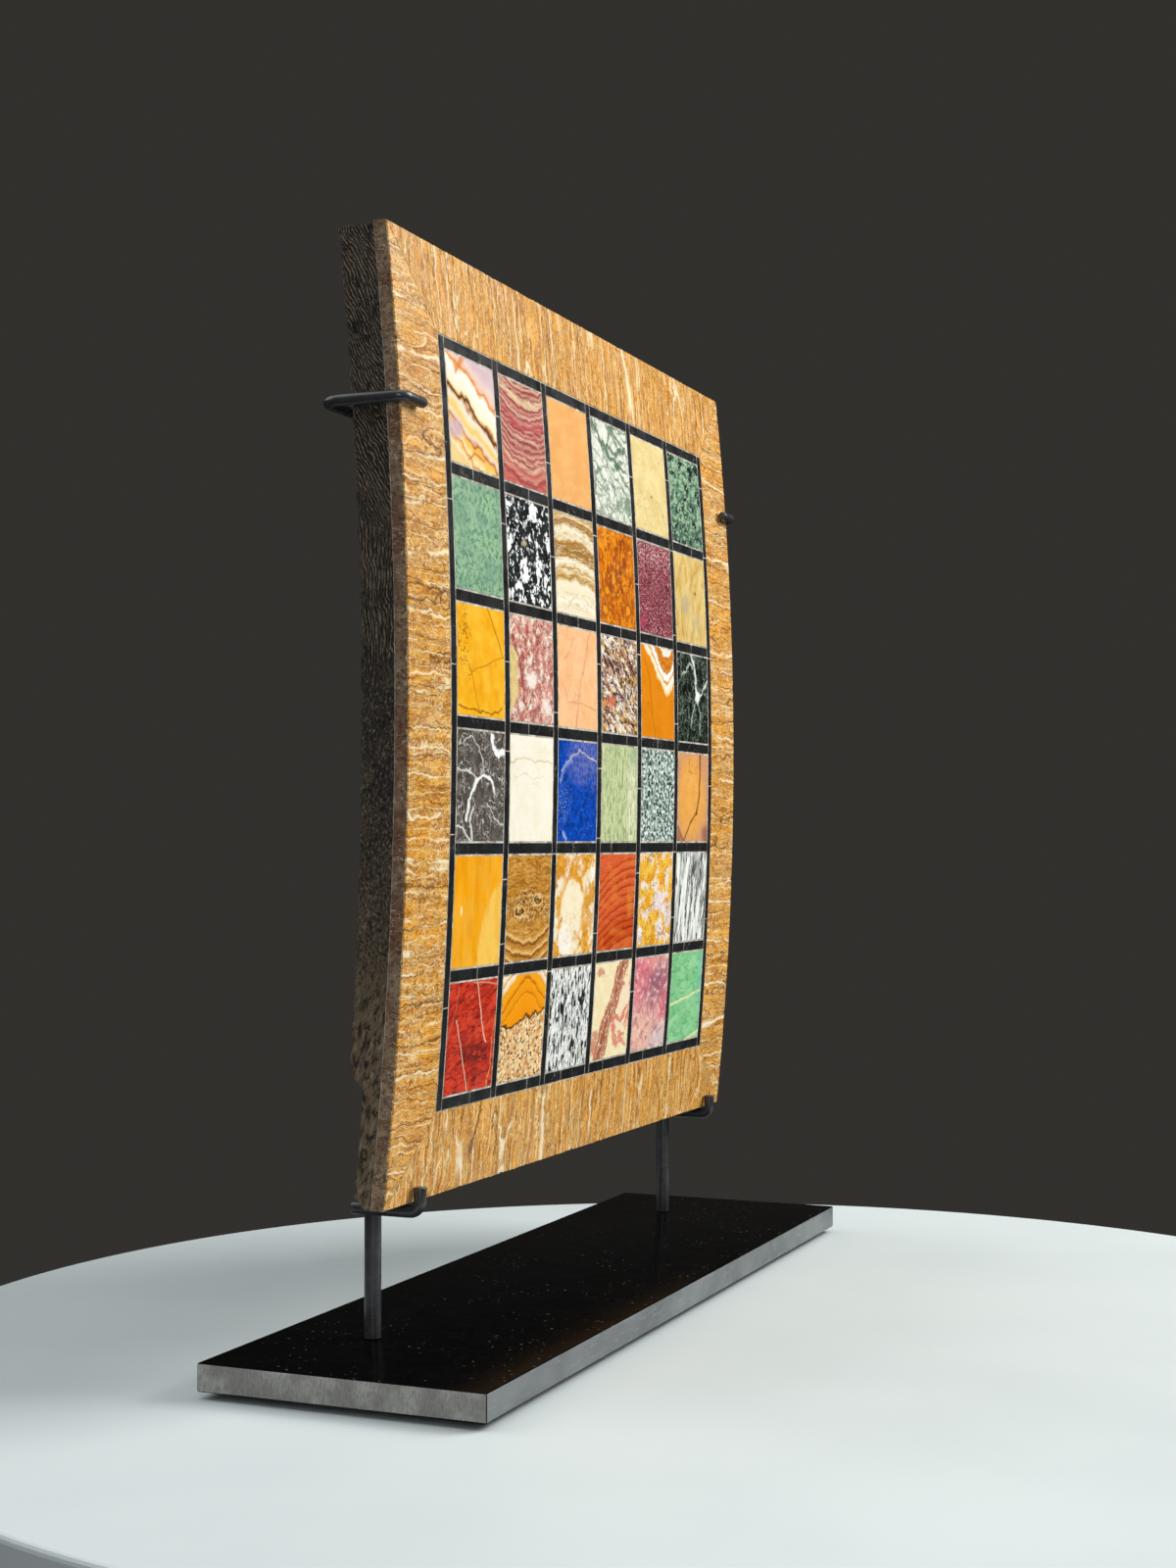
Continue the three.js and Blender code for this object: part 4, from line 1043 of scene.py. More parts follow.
strips = 0
for column in range(ROWS + 1):
    left = lattice_low[0] + column * PITCH
    z = lattice_low[2]
    while z < lattice_high[2] - 1 * MM:
        end = z + offcuts.uniform(*OFFCUT_LENGTHS) * MM
        if lattice_high[2] - end < SHORTEST_OFFCUT:
            end = lattice_high[2]
        add_strip(left + TRIM, left + BAND - TRIM, z + TRIM, end - TRIM, strips)
        z = end
        strips += 1
for row in range(ROWS + 1):
    bottom = lattice_low[2] + row * PITCH
    for column in range(ROWS):
        left = lattice_low[0] + BAND + column * PITCH
        right = left + PITCH - BAND
        cut = left + offcuts.uniform(0.3, 0.7) * (right - left)
        ends = [(left, cut), (cut, right)] if offcuts.random() < CUT_IN_TWO else [(left, right)]
        for start, end in ends:
            add_strip(start + TRIM, end - TRIM, bottom + TRIM, bottom + BAND - TRIM, strips)
            strips += 1
make_piece("black_bands", points, faces, [black_marble], ["black_lattice"])
print("black strips:", strips)

# %% [markdown]
# ## The filler in the joints
# The joints between the stones are filled with a pale cement, which shows as hairlines round every
# square. It is one thin bowed sheet just under the polished face, so that it fills every joint at once.
# Its colour is dirty grey-cream, a little darker where grime has settled.

# %% Joint filler
FILLER_DEPTH = 0.07 * MM
FILLER_THICKNESS = 0.8 * MM
FILLER_STEP = 8 * MM

filler = Stone("joint_cement", "b4b0a6", 0.8)
clouds(filler, "7f7a6f", 6, 0.53, 0.08, 0.8, seed=1)
clouds(filler, "d9d5ca", 4, 0.57, 0.06, 0.85, seed=2)
cement = filler.finish(bump=0.05)
points, faces = bowed_block(lattice_low[0] - JOINT, lattice_high[0] + JOINT, lattice_low[2] - JOINT,
                            lattice_high[2] + JOINT, FILLER_STEP, FILLER_THICKNESS, 99)
points = [(x, y + FILLER_DEPTH, z) for x, y, z in points]
make_piece("joint_filler", points, faces, [cement], [])
print("filler laid")

# %% [markdown]
# ## The banded border
# The frame is honey-coloured alabaster, sawn so that its layers run across each strip, and mitred at the
# corners. Close up it is a dense weave of amber, orange and tan bands, with broken cream threads and
# thin brown lines at all distances, and in the two upright strips the threads are crumpled into curls.

# %% Banded alabaster
def hairlines(stone, colour, place, upright_bands, pitch, width, amount, seed, broken):
    """Long fine lines across a strip, about a pitch apart, that drift and fork a little."""
    x, _, z = stone.axes(place)
    drift = stone.noise(pitch * 2.2, 1, stretch=(1, 20) if upright_bands else (20, 1), seed=seed, place=place)
    along = x if upright_bands else z
    turn = stone.math("MULTIPLY_ADD", along, 1 / pitch, stone.math("MULTIPLY", drift, 4.8))
    away = stone.math("ABSOLUTE", stone.math("SUBTRACT", stone.math("FRACT", turn), 0.5))
    whole = stone.rise(stone.noise(pitch * 1.8, 2, seed=seed + 21), broken - 0.05, broken + 0.05)
    stone.lay(colour, stone.math("MULTIPLY", stone.rise(away, width / pitch, 0), whole), amount)


def banded_alabaster(name, upright_bands):
    """Layers across the strip: upright ones for the top and bottom, level ones for the sides."""
    s = Stone(name, "d08e38")
    wavy = s.wobbled((1.1, 13), (0.5, 4.4), (0.22, 1.5))
    curly = s.wobbled((1.4, 5), (0.7, 1.9))

    def run(length):
        return (1, length) if upright_bands else (length, 1)

    clouds(s, "e9a036", 7, 0.5, 0.06, 0.9, stretch=run(14), seed=1, place=wavy, detail=1)
    clouds(s, "cf9c50", 4, 0.54, 0.05, 0.85, stretch=run(14), seed=3, place=wavy, detail=1)
    clouds(s, "b06f24", 2.8, 0.565, 0.05, 0.75, stretch=run(14), seed=2, place=wavy, detail=1)
    clouds(s, "f4b44a", 2.2, 0.57, 0.05, 0.8, stretch=run(12), seed=4, place=wavy, detail=2)
    clouds(s, "ebc070", 1.6, 0.57, 0.05, 0.6, stretch=run(3), seed=6, place=curly, detail=3)
    veins(s, "965a18", 3.2, 0.035, 0.8, stretch=run(2.2), seed=7, place=curly, detail=2, broken=0.4)
    veins(s, "f2cd90", 2.6, 0.03, 0.7, stretch=run(2.6), seed=8, place=curly, detail=2, broken=0.45)
    veins(s, "83490f", 1.9, 0.035, 0.75, stretch=run(1.6), seed=15, place=curly, detail=3, broken=0.43)
    if not upright_bands:
        crumpled = s.rise(s.noise(26, 2, seed=41), 0.47, 0.56)
        veins(s, "fbe6ba", 3.4, 0.035, 0.8, place=curly, seed=42, detail=3, within=crumpled)
        veins(s, "7d460f", 3.0, 0.024, 0.75, place=curly, seed=43, detail=3, within=crumpled)
    for colour, pitch, width, amount, seed, broken in (
            ("f3cf92", 2.6, 0.3, 0.6, 31, 0.46), ("6f3f0c", 3.4, 0.26, 0.7, 32, 0.45),
            ("f7e0b0", 4.7, 0.4, 0.85, 33, 0.46), ("5a300a", 7.3, 0.34, 0.85, 34, 0.4),
            ("fdeecd", 11.5, 0.7, 0.92, 35, 0.45), ("4c2a0c", 17.0, 0.3, 0.8, 36, 0.4)):
        hairlines(s, colour, wavy, upright_bands, pitch, width, amount, seed, broken)
    return s.finish(bump=0.06, size=0.5, gloss=(0.26, 0.42))


side_bands = banded_alabaster("amber_alabaster_level", False)
end_bands = banded_alabaster("amber_alabaster_upright", True)

sawn = Stone("border_edge", "85705a", 0.6)
clouds(sawn, "6f5340", 6, 0.52, 0.08, 0.8, seed=1)
clouds(sawn, "a78f70", 4, 0.57, 0.08, 0.6, seed=2)
clouds(sawn, "6a3f2c", 16, 0.55, 0.07, 0.6, seed=3)
clouds(sawn, "3f3026", 1.2, 0.58, 0.06, 0.7, seed=4, detail=5)
veins(sawn, "dccbb0", 5, 0.02, 0.6, stretch=(3, 0.5), broken=0.5, seed=6)
sawn_edge = sawn.finish(bump=0.25, size=1.1)
print("border stone ready")

# %% [markdown]
# ## Cutting the border strips
# Each strip is a bowed plate with mitred ends. Its outer front edge is worn: rounded everywhere, deeper
# in places, with small chips broken out. The strip is a stack of rings across it, whose points crowd
# together near that edge, and noise along the edge pushes them back and inwards.

# %% Border strips
WEAR = 0.75 * MM
CHIP = 1.3 * MM
RAGGED = 0.26 * MM
RAGGED_WITHIN = 0.4 * MM
SEAM = 0.22 * MM
STRIP_STEP = 0.8 * MM
EDGE_LINES = [0, 0.25, 0.6, 1.0, 1.6, 2.4, 3.6, 6, 10, 15, 20, 25, 30]
SIDE_DEPTHS = (1, 0.75, 0.5, 0.3)
CORNERS = {("left", "top"): 1 * MM, ("right", "top"): 3.6 * MM, ("right", "bottom"): 2.6 * MM,
           ("left", "bottom"): 1.2 * MM}


def rounded_in(x, z, top):
    """Keeps a place inside the tablet's outline with its worn corners."""
    for (side, end), radius in CORNERS.items():
        cx = tablet_left + radius if side == "left" else tablet_right - radius
        cz = top - radius if end == "top" else tablet_bottom + radius
        past_x = (cx - x) if side == "left" else (x - cx)
        past_z = (z - cz) if end == "top" else (cz - z)
        if past_x > 0 and past_z > 0:
            away = math.hypot(past_x, past_z)
            if away > radius:
                scale = radius / away
                return cx + (x - cx) * scale, cz + (z - cz) * scale
    return x, z


def wear_at(where):
    """How far the edge is worn back here: a soft rounding, with chips now and then."""
    soft = WEAR * (0.75 + 0.6 * noise.noise(Vector((where / MM / 9, 3.1, 0))))
    chip = noise.noise(Vector((where / MM / 2.2, 9.4, 5)))
    return max(soft, 0.2 * MM) + CHIP * max(0, chip - 0.38) * 2.2


def border_strip(name, node, side, face_material):
    """A mitred strip: outer edge worn, inner edge eased, side sawn."""
    low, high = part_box(node)
    upright = side in ("left", "right")
    across = (high[0] - low[0]) if upright else (high[2] - low[2])
    outer = {"left": tablet_left, "right": tablet_right, "top": tablet_top, "bottom": tablet_bottom}[side]
    inward = 1 if side in ("left", "bottom") else -1
    ends = (tablet_bottom, tablet_top) if upright else (tablet_left, tablet_right)
    inner = (lattice_low[2], lattice_high[2]) if upright else (lattice_low[0], lattice_high[0])
    distances = [d * MM for d in EDGE_LINES if d * MM < across - 1 * MM] + [across - EASE, across]
    steps = spread(0, 1, STRIP_STEP / (ends[1] - ends[0]))

    def place(distance, share, depth_share):
        reach = distance / across
        start = ends[0] + (inner[0] - JOINT - ends[0]) * reach + SEAM
        end = ends[1] + (inner[1] + JOINT - ends[1]) * reach - SEAM
        along = start + (end - start) * share
        worn = wear_at(along + (5 if upright else 9) + (2 if inward > 0 else 0))
        near = max(0, 1 - distance / max(worn, 1e-6))
        pushed = distance + 0.35 * worn * near if depth_share == 0 else distance
        if distance < RAGGED_WITHIN:
            pushed += RAGGED * (1 + noise.noise(Vector((along / MM / 1.7, depth_share * 4, outer * 90))))
        x, z = (outer + inward * pushed, along) if upright else (along, outer + inward * pushed)
        x, z = rounded_in(x, z, tablet_top)
        back = worn * (1 - math.sqrt(max(0, 1 - near ** 2))) if near else 0
        if reach == 1:
            back = EASE
        return (x, face_y(z) + (back if depth_share == 0 else max(FACING_THICKNESS * depth_share, back)), z)

    points = []
    for share in steps:
        points.extend(place(distance, share, 0) for distance in distances)
        points.append(place(across, share, 1))
        points.extend(place(distances[0], share, depth) for depth in SIDE_DEPTHS)
    ring = len(points) // len(steps)
    flip = side in ("right", "bottom")
    faces = skin(ring, len(steps), (3, 2, 1, 0) if flip else (0, 1, 2, 3))
    slots = [1 if number % ring > len(distances) else 0 for number in range(len(faces))]
    for j in (0, len(steps) - 1):
        cap = tuple(range(j * ring, (j + 1) * ring))
        faces.append(cap[::-1] if (j == 0) != flip else cap)
        slots.append(0)
    materials = [face_material, sawn_edge]
    return make_piece(name, points, faces, materials, [node], slots=slots)


for side in ("left", "right", "top", "bottom"):
    bands = side_bands if side in ("left", "right") else end_bands
    strip = border_strip("banded_border_" + side, "border_" + side, side, bands)
    print(strip.name, "faces:", len(strip.data.polygons))

# %% [markdown]
# ## The rough slab
# The facing is laid on a thick slab of dark stone that nobody meant to show: sawn with a coarse blade,
# so its sides are covered with short strokes, and browner and rougher towards the foot. Noise that is
# squeezed across the strokes and stretched along them, with a few even saw marks, gives both their colour
# and their bump. Its lean changes with height, as it does on the real slab.

# %% Rough stone
rough = Stone("rough_slab", "35302b")
RELIEF = 1.1


def strokes(stone, lean, seed, size, long):
    """Sawn strokes that lean back or forward by some degrees as they go up."""
    place = stone.mapped(stone.wobbled((0.5, 6)), (seed * 31, seed * 17, seed * 7),
                         (math.radians(-lean), 0, 0), (size * 1.3, size, size * long))
    return stone.noise_node(place, 3).outputs["Fac"]


def combed(stone, lean, pitch, seed):
    """Even saw marks at a pitch, wavering a little, as from the teeth of one blade."""
    wavering = stone.wobbled((1.6, 22), (0.5, 5), (0.16, 1.4))
    x, y, _ = stone.axes(stone.mapped(wavering, (seed * 3, seed * 5, seed * 7), (math.radians(-lean), 0, 0),
                                      (1, 1, 1)))
    wave = stone.math("SINE", stone.math("MULTIPLY", stone.math("ADD", x, y), 2 * math.pi / pitch))
    return stone.math("MULTIPLY_ADD", wave, 0.5, 0.5)


_, _, height = rough.axes(rough.wobbled((9, 26)))
upper, lower = rough.rise(height, 62, 82), rough.rise(height, -78, -106)
browner = rough.rise(height, -20, -125)
mottled = rough.math("MULTIPLY", rough.rise(height, 30, 0), rough.rise(height, -106, -78))
leaning = strokes(rough, 29, 1, 0.55, 6)
standing = strokes(rough, 2, 2, 0.6, 7)
rising = strokes(rough, -20, 3, 1.1, 3.4)
fine_mottle = strokes(rough, -6, 4, 0.7, 2.2)
leaning = rough.blended(leaning, combed(rough, 29, 1.25, 1), 0.3)
standing = rough.blended(standing, combed(rough, 4, 1.4, 2), 0.24)
tooled = rough.blended(standing, leaning, upper)
tooled = rough.blended(tooled, fine_mottle, mottled)
tooled = rough.blended(tooled, rising, lower)
clouds(rough, "544a3e", 16, 0.5, 0.12, 0.8, seed=6)
rough.lay("76644e", browner, 0.75)
rough.lay("1d1916", rough.rise(tooled, 0.5, 0.38), 0.85)
rough.lay("978a76", rough.rise(tooled, 0.56, 0.7), 0.7)
clouds(rough, "a3957d", 0.9, 0.68, 0.03, 0.5, seed=8, detail=4)
clouds(rough, "181514", 3.4, 0.64, 0.04, 0.8, seed=9, detail=4)
pitted = rough.math("ADD", tooled, rough.math("MULTIPLY", rough.noise(0.7, 4, seed=5), 0.35))
rough_stone = rough.relief(RELIEF, pitted, (0.7, 0.95), tooled)
print("slab stone ready")

# %% [markdown]
# ## Dressing the slab
# The slab is a stack of rings, one every millimetre and a half, each running round its four sides. Points
# on the sides and back are pushed in from the measured outline by noise, never out, and the arrises are
# knocked back more, with chips. So the slab keeps its size, its taper, and the step cut into the foot of its
# back.

# %% Slab shape
SLAB_GAP = 0.3 * MM
THICK_TOP, THICK_BOTTOM = 14.3 * MM, 12.9 * MM
STEP_HEIGHT, STEP_SLOPE, STEP_DEPTH, HEEL = 41.5 * MM, 4 * MM, 5.6 * MM, 3.6 * MM
SIDE_SHARES = (0, 0.05, 0.12, 0.2, 0.28, 0.36, 0.44, 0.52, 0.6, 0.68, 0.76, 0.83, 0.89, 0.94, 0.97, 1)
BACK_STEP, FRONT_STEP, LEVEL_STEP = 2.4 * MM, 12 * MM, 1.5 * MM
ARRIS_WIDTH, ARRIS_KNOCK, ARRIS_CHIP = 1.6, 0.5 * MM, 1.5 * MM


def slab_front(z):
    return face_y(z) + FACING_THICKNESS + SLAB_GAP


def slab_back(z):
    """Depth of the back: full above the step, cut in below it, eased at the very foot."""
    share = (z - tablet_bottom) / (tablet_top - tablet_bottom)
    full = slab_front(z) + THICK_BOTTOM + share * (THICK_TOP - THICK_BOTTOM)
    up = z - tablet_bottom
    cut = STEP_DEPTH * min(1, max(0, (STEP_HEIGHT + STEP_SLOPE - up) / STEP_SLOPE))
    return full - cut - max(0, HEEL - up)


def roughness_at(x, y, z):
    """How far the surface lies inside the block here: broad hollows with finer ones in them."""
    p = Vector((x, y, z)) / MM
    broad = 0.5 + 0.5 * noise.noise(p / 14)
    fine = 0.5 + 0.5 * noise.noise(p / 3 + Vector((0, 5, 0)))
    return (0.12 + 0.4 * broad + 0.3 * fine) * MM


def slab_ring(z, end_share):
    """One level of the slab: left side, back, right side and front, the sides and back pushed in by the
    roughness.
    """
    front, back = slab_front(z), slab_back(z)
    side = [front + (back - front) * share for share in SIDE_SHARES]
    across = spread(tablet_left, tablet_right, BACK_STEP)
    ring = [(tablet_left, y, -1, 0) for y in side]
    ring += [(x, back, 0, 1) for x in across[1:-1]]
    ring += [(tablet_right, y, 1, 0) for y in reversed(side)]
    ring += [(x, front, 0, 0) for x in reversed(spread(tablet_left, tablet_right, FRONT_STEP)[1:-1])]
    placed = []
    for x, y, nx, ny in ring:
        d = roughness_at(x, y, z)
        to_back = (back - y) / MM
        arris = max(0, 1 - to_back / ARRIS_WIDTH) if nx else 0
        chip = max(0, noise.noise(Vector((z / MM / 5, 2 + nx, 7)))) * ARRIS_CHIP
        knock = (ARRIS_KNOCK + chip) * arris
        px = x - nx * (d + knock)
        py = y - ny * d - (knock if nx and arris else 0)
        if ny:
            from_side = min(x - tablet_left, tablet_right - x) / MM
            py -= max(0, 1 - from_side / 3) * 0.4 * MM
        px, pz = rounded_in(px, z, slab_top)
        near_end = end_share * (0.5 + 0.6 * noise.noise(Vector((x / MM / 6, y / MM / 4, 3))))
        placed.append((px, py, pz - near_end * MM))
    return placed


levels = [tablet_bottom + d * MM for d in (0, 0.8, 1.6)]
levels += spread(tablet_bottom + 2.4 * MM, slab_top - 1 * MM, LEVEL_STEP) + [slab_top]
points = []
for number, z in enumerate(levels):
    end_share = {0: -0.5, len(levels) - 1: 0.6}.get(number, 0)
    points.extend(slab_ring(z, end_share))
ring = len(points) // len(levels)
faces = skin(ring, len(levels), (0, 3, 2, 1))
faces.append(tuple(range(ring)))
faces.append(tuple(reversed(range(len(points) - ring, len(points)))))
slab_centre = (0, 0, tablet_middle)
make_piece("rough_backing_slab", points, faces, [rough_stone], ["backing_slab"], slab_centre)
print("slab points:", len(points))

# %% [markdown]
# ## The bed of cement
# Between the facing and the slab there is a thin bed of cement, which shows as a pale line here and there
# along the side. It is a sheet that fills the gap and stops just short of the edges, so the line stays
# thin and in shadow.

# %% Cement bed
BED_INSET, BED_STEP = 0.5 * MM, 10 * MM
points, faces = bowed_block(tablet_left + BED_INSET, tablet_right - BED_INSET, tablet_bottom + BED_INSET,
                            slab_top - BED_INSET, BED_STEP, SLAB_GAP, 55)
points = [(x, y + FACING_THICKNESS, z) for x, y, z in points]
make_piece("cement_bed", points, faces, [cement], [])
print("bed laid")

# %% [markdown]
# ## Black steel
# The mount is mild steel rod and plate under a satin black coat. On the top of the plate the coat is
# smooth and carries a little dust. The plate's ends were ground, so fine upright lines and a warmer grey
# show through there, and its long edges are a cooler grey. Each finish is a colour with clouds in it and
# an uneven gloss.

# %% Steel finishes
rod_coat = Stone("rod_coat", "3d3e42", specular=0.5)
clouds(rod_coat, "2c2d31", 12, 0.5, 0.15, 0.5, seed=1)
clouds(rod_coat, "2a2725", 3.5, 0.5, 0.1, 0.5, seed=3, detail=4)
clouds(rod_coat, "5a5753", 0.7, 0.7, 0.03, 0.4, seed=4, detail=2)
rod_black = rod_coat.finish(bump=0.02, size=0.5, gloss=(0.24, 0.34))

plate_coat = Stone("plate_coat", "050506", specular=0.015)
clouds(plate_coat, "0a0a0b", 12, 0.5, 0.15, 0.5, seed=1)
clouds(plate_coat, "030303", 5, 0.5, 0.1, 0.6, seed=2)
dusty = plate_coat.rise(plate_coat.noise(30, 2, seed=9), 0.42, 0.6)
clouds(plate_coat, "5f5b56", 1.5, 0.8, 0.012, 0.6, seed=4, detail=0, within=dusty)
clouds(plate_coat, "3a3734", 0.8, 0.74, 0.03, 0.25, seed=5, detail=1)
plate_black = plate_coat.finish(bump=0.002, size=0.6, gloss=(0.2, 0.22))

ground_steel = Stone("ground_ends", "9b9994", specular=0.4)
clouds(ground_steel, "adaaa4", 0.7, 0.5, 0.2, 0.5, stretch=(1, 6), seed=1, detail=4)
clouds(ground_steel, "6f6d69", 0.45, 0.53, 0.08, 0.6, stretch=(1, 6), turn=9, seed=2, detail=4)
clouds(ground_steel, "6d6b67", 12, 0.52, 0.1, 0.6, seed=3)
clouds(ground_steel, "4f4d4a", 0.7, 0.67, 0.03, 0.6, seed=6, detail=3)
ground_ends = ground_steel.finish(bump=0.05, size=0.5, gloss=(0.42, 0.56))

long_edge = Stone("plate_long_edge", "6f7375", specular=0.45)
clouds(long_edge, "595d60", 16, 0.5, 0.14, 0.8, stretch=(3, 1), seed=1)
clouds(long_edge, "7f8488", 1.4, 0.62, 0.05, 0.5, stretch=(5, 1), seed=2)
edge_steel = long_edge.finish(bump=0.03, size=0.6, gloss=(0.36, 0.5))
print("steel finishes ready")

# %% [markdown]
# ## The base plate and its pads
# The plate is cut from flat bar about ten millimetres thick. Its arrises were broken with a file, and
# that thin bright line is what makes it read as steel. A box whose edges are bevelled in three steps
# gives the line. Four low felt pads lift it, so a thin dark gap shows beneath.

# %% Base plate and pads
def eased_box(name, node, materials, ease, segments, choose=None):
    """A box from a solid's own corners, with its edges eased."""
    low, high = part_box(node)
    form = bmesh.new()
    bmesh.ops.create_cube(form, size=1)
    size = [h - l for l, h in zip(low, high)]
    middle = [(h + l) / 2 for l, h in zip(low, high)]
    bmesh.ops.scale(form, vec=size, verts=form.verts)
    bmesh.ops.translate(form, vec=middle, verts=form.verts)
    bmesh.ops.bevel(form, geom=form.edges[:], offset=ease, segments=segments, profile=0.6, affect="EDGES",
                    clamp_overlap=True)
    form.normal_update()
    points = [tuple(v.co) for v in form.verts]
    faces = [tuple(v.index for v in f.verts) for f in form.faces]
    slots = [choose(f.normal) if choose else 0 for f in form.faces]
    form.free()
    return make_piece(name, points, faces, materials, [node], middle, slots)


def plate_side(normal):
    """Which finish a face of the plate takes: 1 on the ends, 2 on the long edges, 0 elsewhere."""
    if abs(normal.x) > 0.75:
        return 1
    return 2 if abs(normal.y) > 0.75 else 0


plate = eased_box("steel_base_plate", "base_plate", [plate_black, ground_ends, edge_steel],
                  0.7 * MM, 3, plate_side)

felt_stone = Stone("pad_felt", "151415", 0.95)
clouds(felt_stone, "2b292a", 0.7, 0.55, 0.1, 0.8, seed=1, detail=4)
felt = felt_stone.finish(bump=0.3, size=0.5)
for node in sorted(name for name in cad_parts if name.startswith("pad_")):
    eased_box("felt_" + node, node, [felt], 0.5 * MM, 2)
print("plate faces:", len(plate.data.polygons))

# %% [markdown]
# ## Bent rods
# Uprights, hooks and clips are all round bar, cut and bent cold. A rod is a circle carried along a path
# with arcs at its corners. The cut ends have their arris filed off, and the tips of the clips, which
# touch the polished face, are rounded over.

# %% Rods
ARC_STEPS, CAP_STEPS, RUN_STEP = 10, 5, 6 * MM


def bent_path(corners, bends):
    """Points along straight runs and arcs; bends are radii on the centre line."""
    path = [Vector(corners[0])]
    for number, radius in enumerate(bends):
        before, corner, after = (Vector(corners[number + i]) for i in range(3))
        back, onward = (before - corner).normalized(), (after - corner).normalized()
        half = back.angle(onward) / 2
        reach = radius / math.tan(half)
        centre = corner + (back + onward).normalized() * (radius / math.sin(half))
        start, end = corner + back * reach, corner + onward * reach
        turn = math.pi - 2 * half
        a, b = start - centre, end - centre
        for i in range(ARC_STEPS + 1):
            t = i / ARC_STEPS
            path.append(centre + (a * math.sin((1 - t) * turn) + b * math.sin(t * turn)) / math.sin(turn))
    path.append(Vector(corners[-1]))
    filled = [path[0]]
    for point in path[1:]:
        run = point - filled[-1]
        pieces = max(1, round(run.length / RUN_STEP))
        start = filled[-1].copy()
        filled.extend(start + run * (i + 1) / pieces for i in range(pieces))
    return filled


def rod(name, node, corners, bends, diameter, eases, sides=28):
    """A round bar along a bent path; eases are how far each end is rounded over."""
    path = bent_path(corners, bends)
    radius = diameter / 2
    stations = []
    for end, ease in ((0, eases[0]), (-1, eases[1])):
        tip, inner = path[end], path[1 if end == 0 else -2]
        inward = (inner - tip).normalized()
        cap = [(tip + inward * ease * (1 - math.cos(a)), radius - ease + ease * math.sin(a))
               for a in [math.pi / 2 * i / CAP_STEPS for i in range(CAP_STEPS)]]
        path[end] = tip + inward * ease
        stations.append(cap)
    rings = stations[0] + [(p, radius) for p in path] + stations[1][::-1]
    points, side_way = [], None
    for number, (centre, size) in enumerate(rings):
        before = rings[max(number - 1, 0)][0]
        after = rings[min(number + 1, len(rings) - 1)][0]
        along = (after - before).normalized()
        if side_way is None:
            side_way = along.orthogonal().normalized()
        side_way = (side_way - along * side_way.dot(along)).normalized()
        up_way = along.cross(side_way)
        for i in range(sides):
            angle = 2 * math.pi * i / sides
            points.append(centre + (side_way * math.cos(angle) + up_way * math.sin(angle)) * max(size, 1e-6))
    faces = skin(sides, len(rings))
    faces.append(tuple(reversed(range(sides))))
    faces.append(tuple(range(len(points) - sides, len(points))))
    return make_piece(name, points, faces, [rod_black], [node])


GAP, WORN_EDGE = 0.3 * MM, 1.2 * MM
UPRIGHT, HOOK, CLIP = 6 * MM, 4.6 * MM, 4 * MM
CLIP_BEND, CLIP_REACH = 6 * MM, 13.5 * MM
for side, outward, edge in (("left", -1, tablet_left), ("right", 1, tablet_right)):
    low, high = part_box("upright_" + side)
    x, y = (low[0] + high[0]) / 2, (low[1] + high[1]) / 2
    rod("steel_upright_" + side, "upright_" + side, [(x, y, low[2]), (x, y, high[2])], [], UPRIGHT,
        (0.15 * MM, 0.6 * MM))
    low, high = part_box("hook_" + side)
    hx, hz = (low[0] + high[0]) / 2, low[2] + HOOK / 2
    front = low[1] + HOOK / 2
    rod("steel_hook_" + side, "hook_" + side, [(hx, high[1], hz), (hx, front, hz), (hx, front, high[2])],
        [HOOK / 2 + GAP + WORN_EDGE], HOOK, (0.4 * MM, 0.45 * MM))
    low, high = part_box("clip_" + side)
    z, front, behind = (low[2] + high[2]) / 2, low[1] + CLIP / 2, high[1] - CLIP / 2
    outside = edge + outward * (GAP + CLIP / 2)
    inner, tip = (high[0] if outward < 0 else low[0]), edge - outward * CLIP_REACH
    rod("steel_clip_" + side, "clip_" + side,
        [(inner, behind, z), (outside, behind, z), (outside, front, z), (tip, front, z)],
        [CLIP_BEND, CLIP / 2 + GAP + WORN_EDGE], CLIP, (0.4 * MM, 1.4 * MM))
print("rods bent: 6")

# %% [markdown]
# ## Floor, light and camera
# The piece stands on a plain pale round table against a dull grey-brown ground. A large soft light stands
# in front of it and to its right, so the face is bright, the rough side falls into shade and the shadow of
# the base falls to the left. Weaker lights stand at the left, overhead and behind. The camera stands at the
# left front, a little below the middle of the tablet, and looks slightly up.

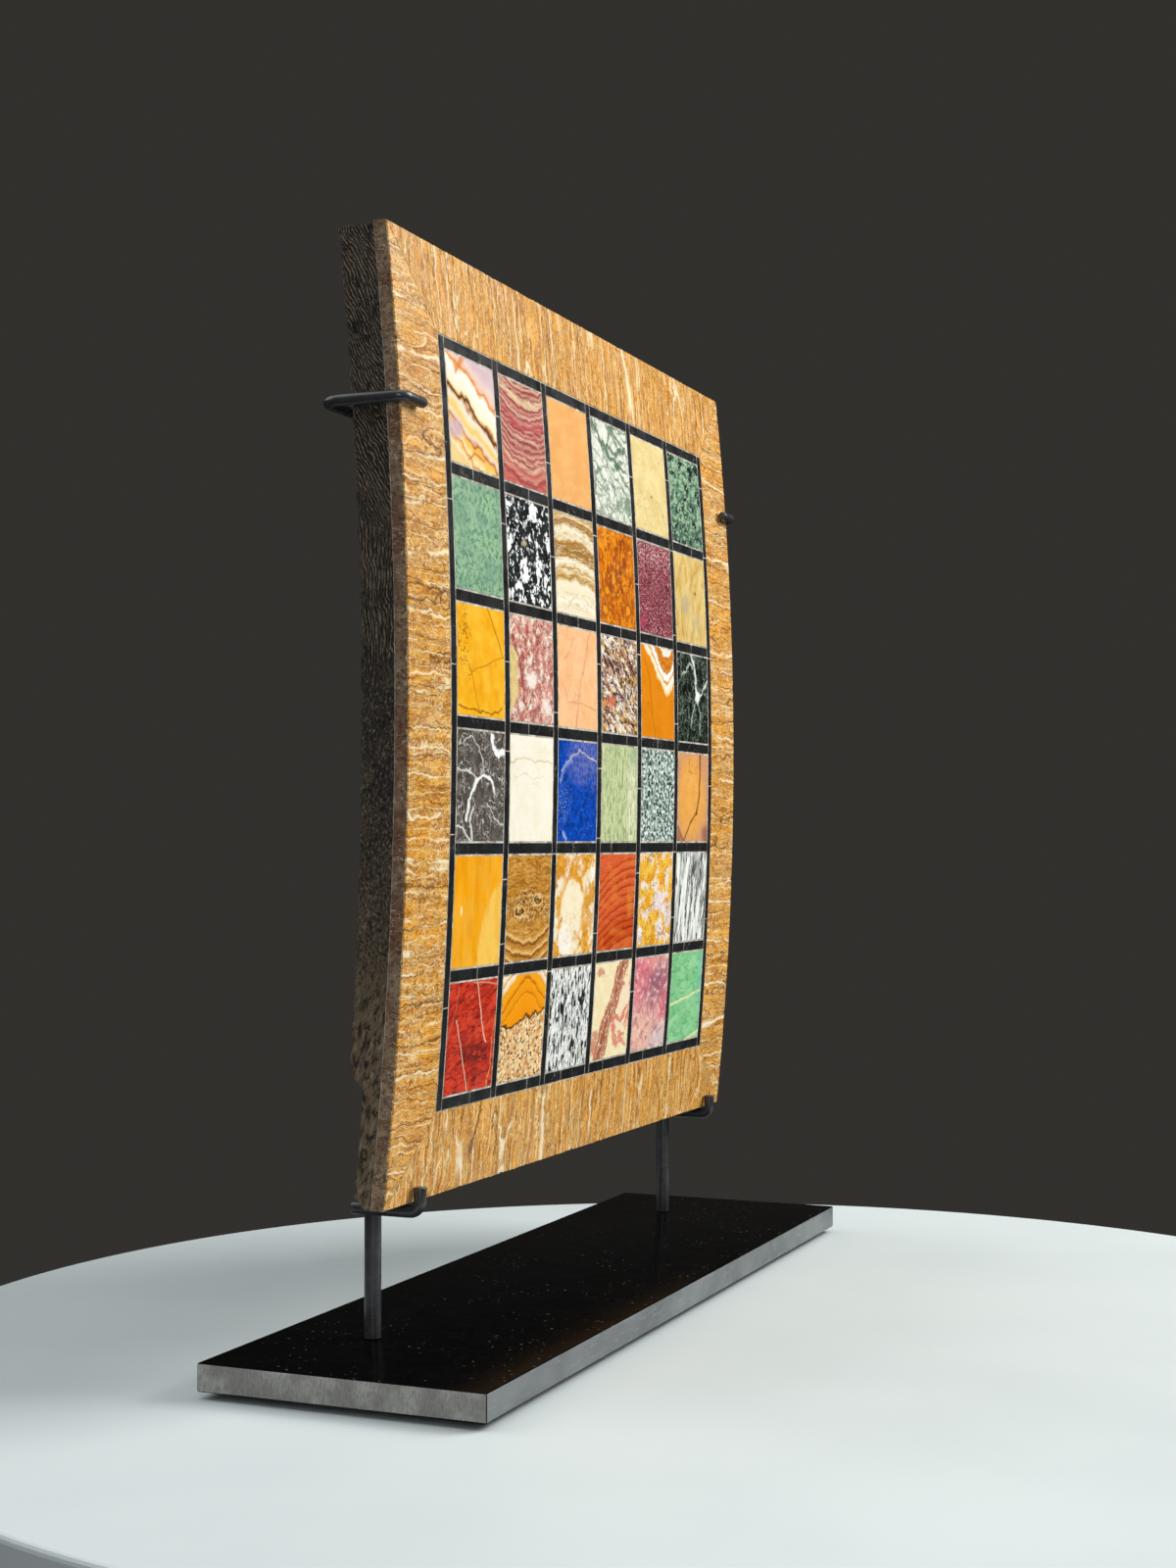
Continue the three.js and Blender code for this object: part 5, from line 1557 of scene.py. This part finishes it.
# %% Stage, lights, camera
floor_stone = Stone("table_top", "c9d2d3", 0.6)
clouds(floor_stone, "bfc9cb", 120, 0.5, 0.2, 0.6, seed=1)
table_top = floor_stone.finish(bump=0.02, size=1.5)
TABLE_CENTRE, TABLE_RADIUS, TABLE_EDGE, TABLE_EASE = (-0.0413, -0.0795), 0.3155, 0.022, 0.002
form = bmesh.new()
bmesh.ops.create_cone(form, cap_ends=True, segments=180, radius1=TABLE_RADIUS, radius2=TABLE_RADIUS,
                      depth=TABLE_EDGE)
rims = [e for e in form.edges if abs(e.verts[0].co.z - e.verts[1].co.z) < 1e-6]
bmesh.ops.bevel(form, geom=rims, offset=TABLE_EASE, segments=3, profile=0.5, affect="EDGES")
floor_mesh = bpy.data.meshes.new("floor")
form.to_mesh(floor_mesh)
form.free()
floor_mesh.materials.append(table_top)
floor = bpy.data.objects.new("floor", floor_mesh)
floor.location = (*TABLE_CENTRE, -TABLE_EDGE / 2)
bpy.context.scene.collection.objects.link(floor)

world = bpy.data.worlds.new("studio")
bpy.context.scene.world = world
world.use_nodes = True
world.node_tree.nodes["Background"].inputs["Color"].default_value = (0.032, 0.03, 0.027, 1)
world.node_tree.nodes["Background"].inputs["Strength"].default_value = 1.0


def soft_light(name, place, target, size, watts, colour=(1, 1, 1)):
    data = bpy.data.lights.new(name, "AREA")
    data.shape, data.size, data.size_y = "RECTANGLE", size[0], size[1]
    data.energy, data.color = watts, colour
    light = bpy.data.objects.new(name, data)
    light.location = place
    light.rotation_euler = (Vector(target) - Vector(place)).to_track_quat("-Z", "Y").to_euler()
    bpy.context.scene.collection.objects.link(light)
    return light


soft_light("key", (0.75, -1.15, 1.15), (0, 0, 0.2), (1.0, 1.0), 37, (1, 0.985, 0.95))
soft_light("fill", (-1.35, -0.62, 0.5), (0, 0, 0.2), (0.3, 0.9), 5.5, (0.95, 0.98, 1))
soft_light("overhead", (-0.2, 0.1, 1.7), (-0.1, 0, 0), (1.8, 1.8), 17, (0.97, 0.99, 1))
soft_light("back", (-0.4, 1.4, 1.3), (0, 0, 0.25), (1.4, 1.0), 9)

camera_data = bpy.data.cameras.new("camera")
camera_data.sensor_width = 36
camera_data.lens = 50.72
camera = bpy.data.objects.new("camera", camera_data)
camera.location = (-0.8336, -0.3539, 0.1872)
camera.rotation_euler = (math.pi / 2 + 0.0259, 0, 0.3939 - math.pi / 2)
bpy.context.scene.collection.objects.link(camera)
bpy.context.scene.camera = camera
bpy.context.scene.view_settings.view_transform = "Standard"
print("camera", tuple(round(v, 4) for v in camera.location))
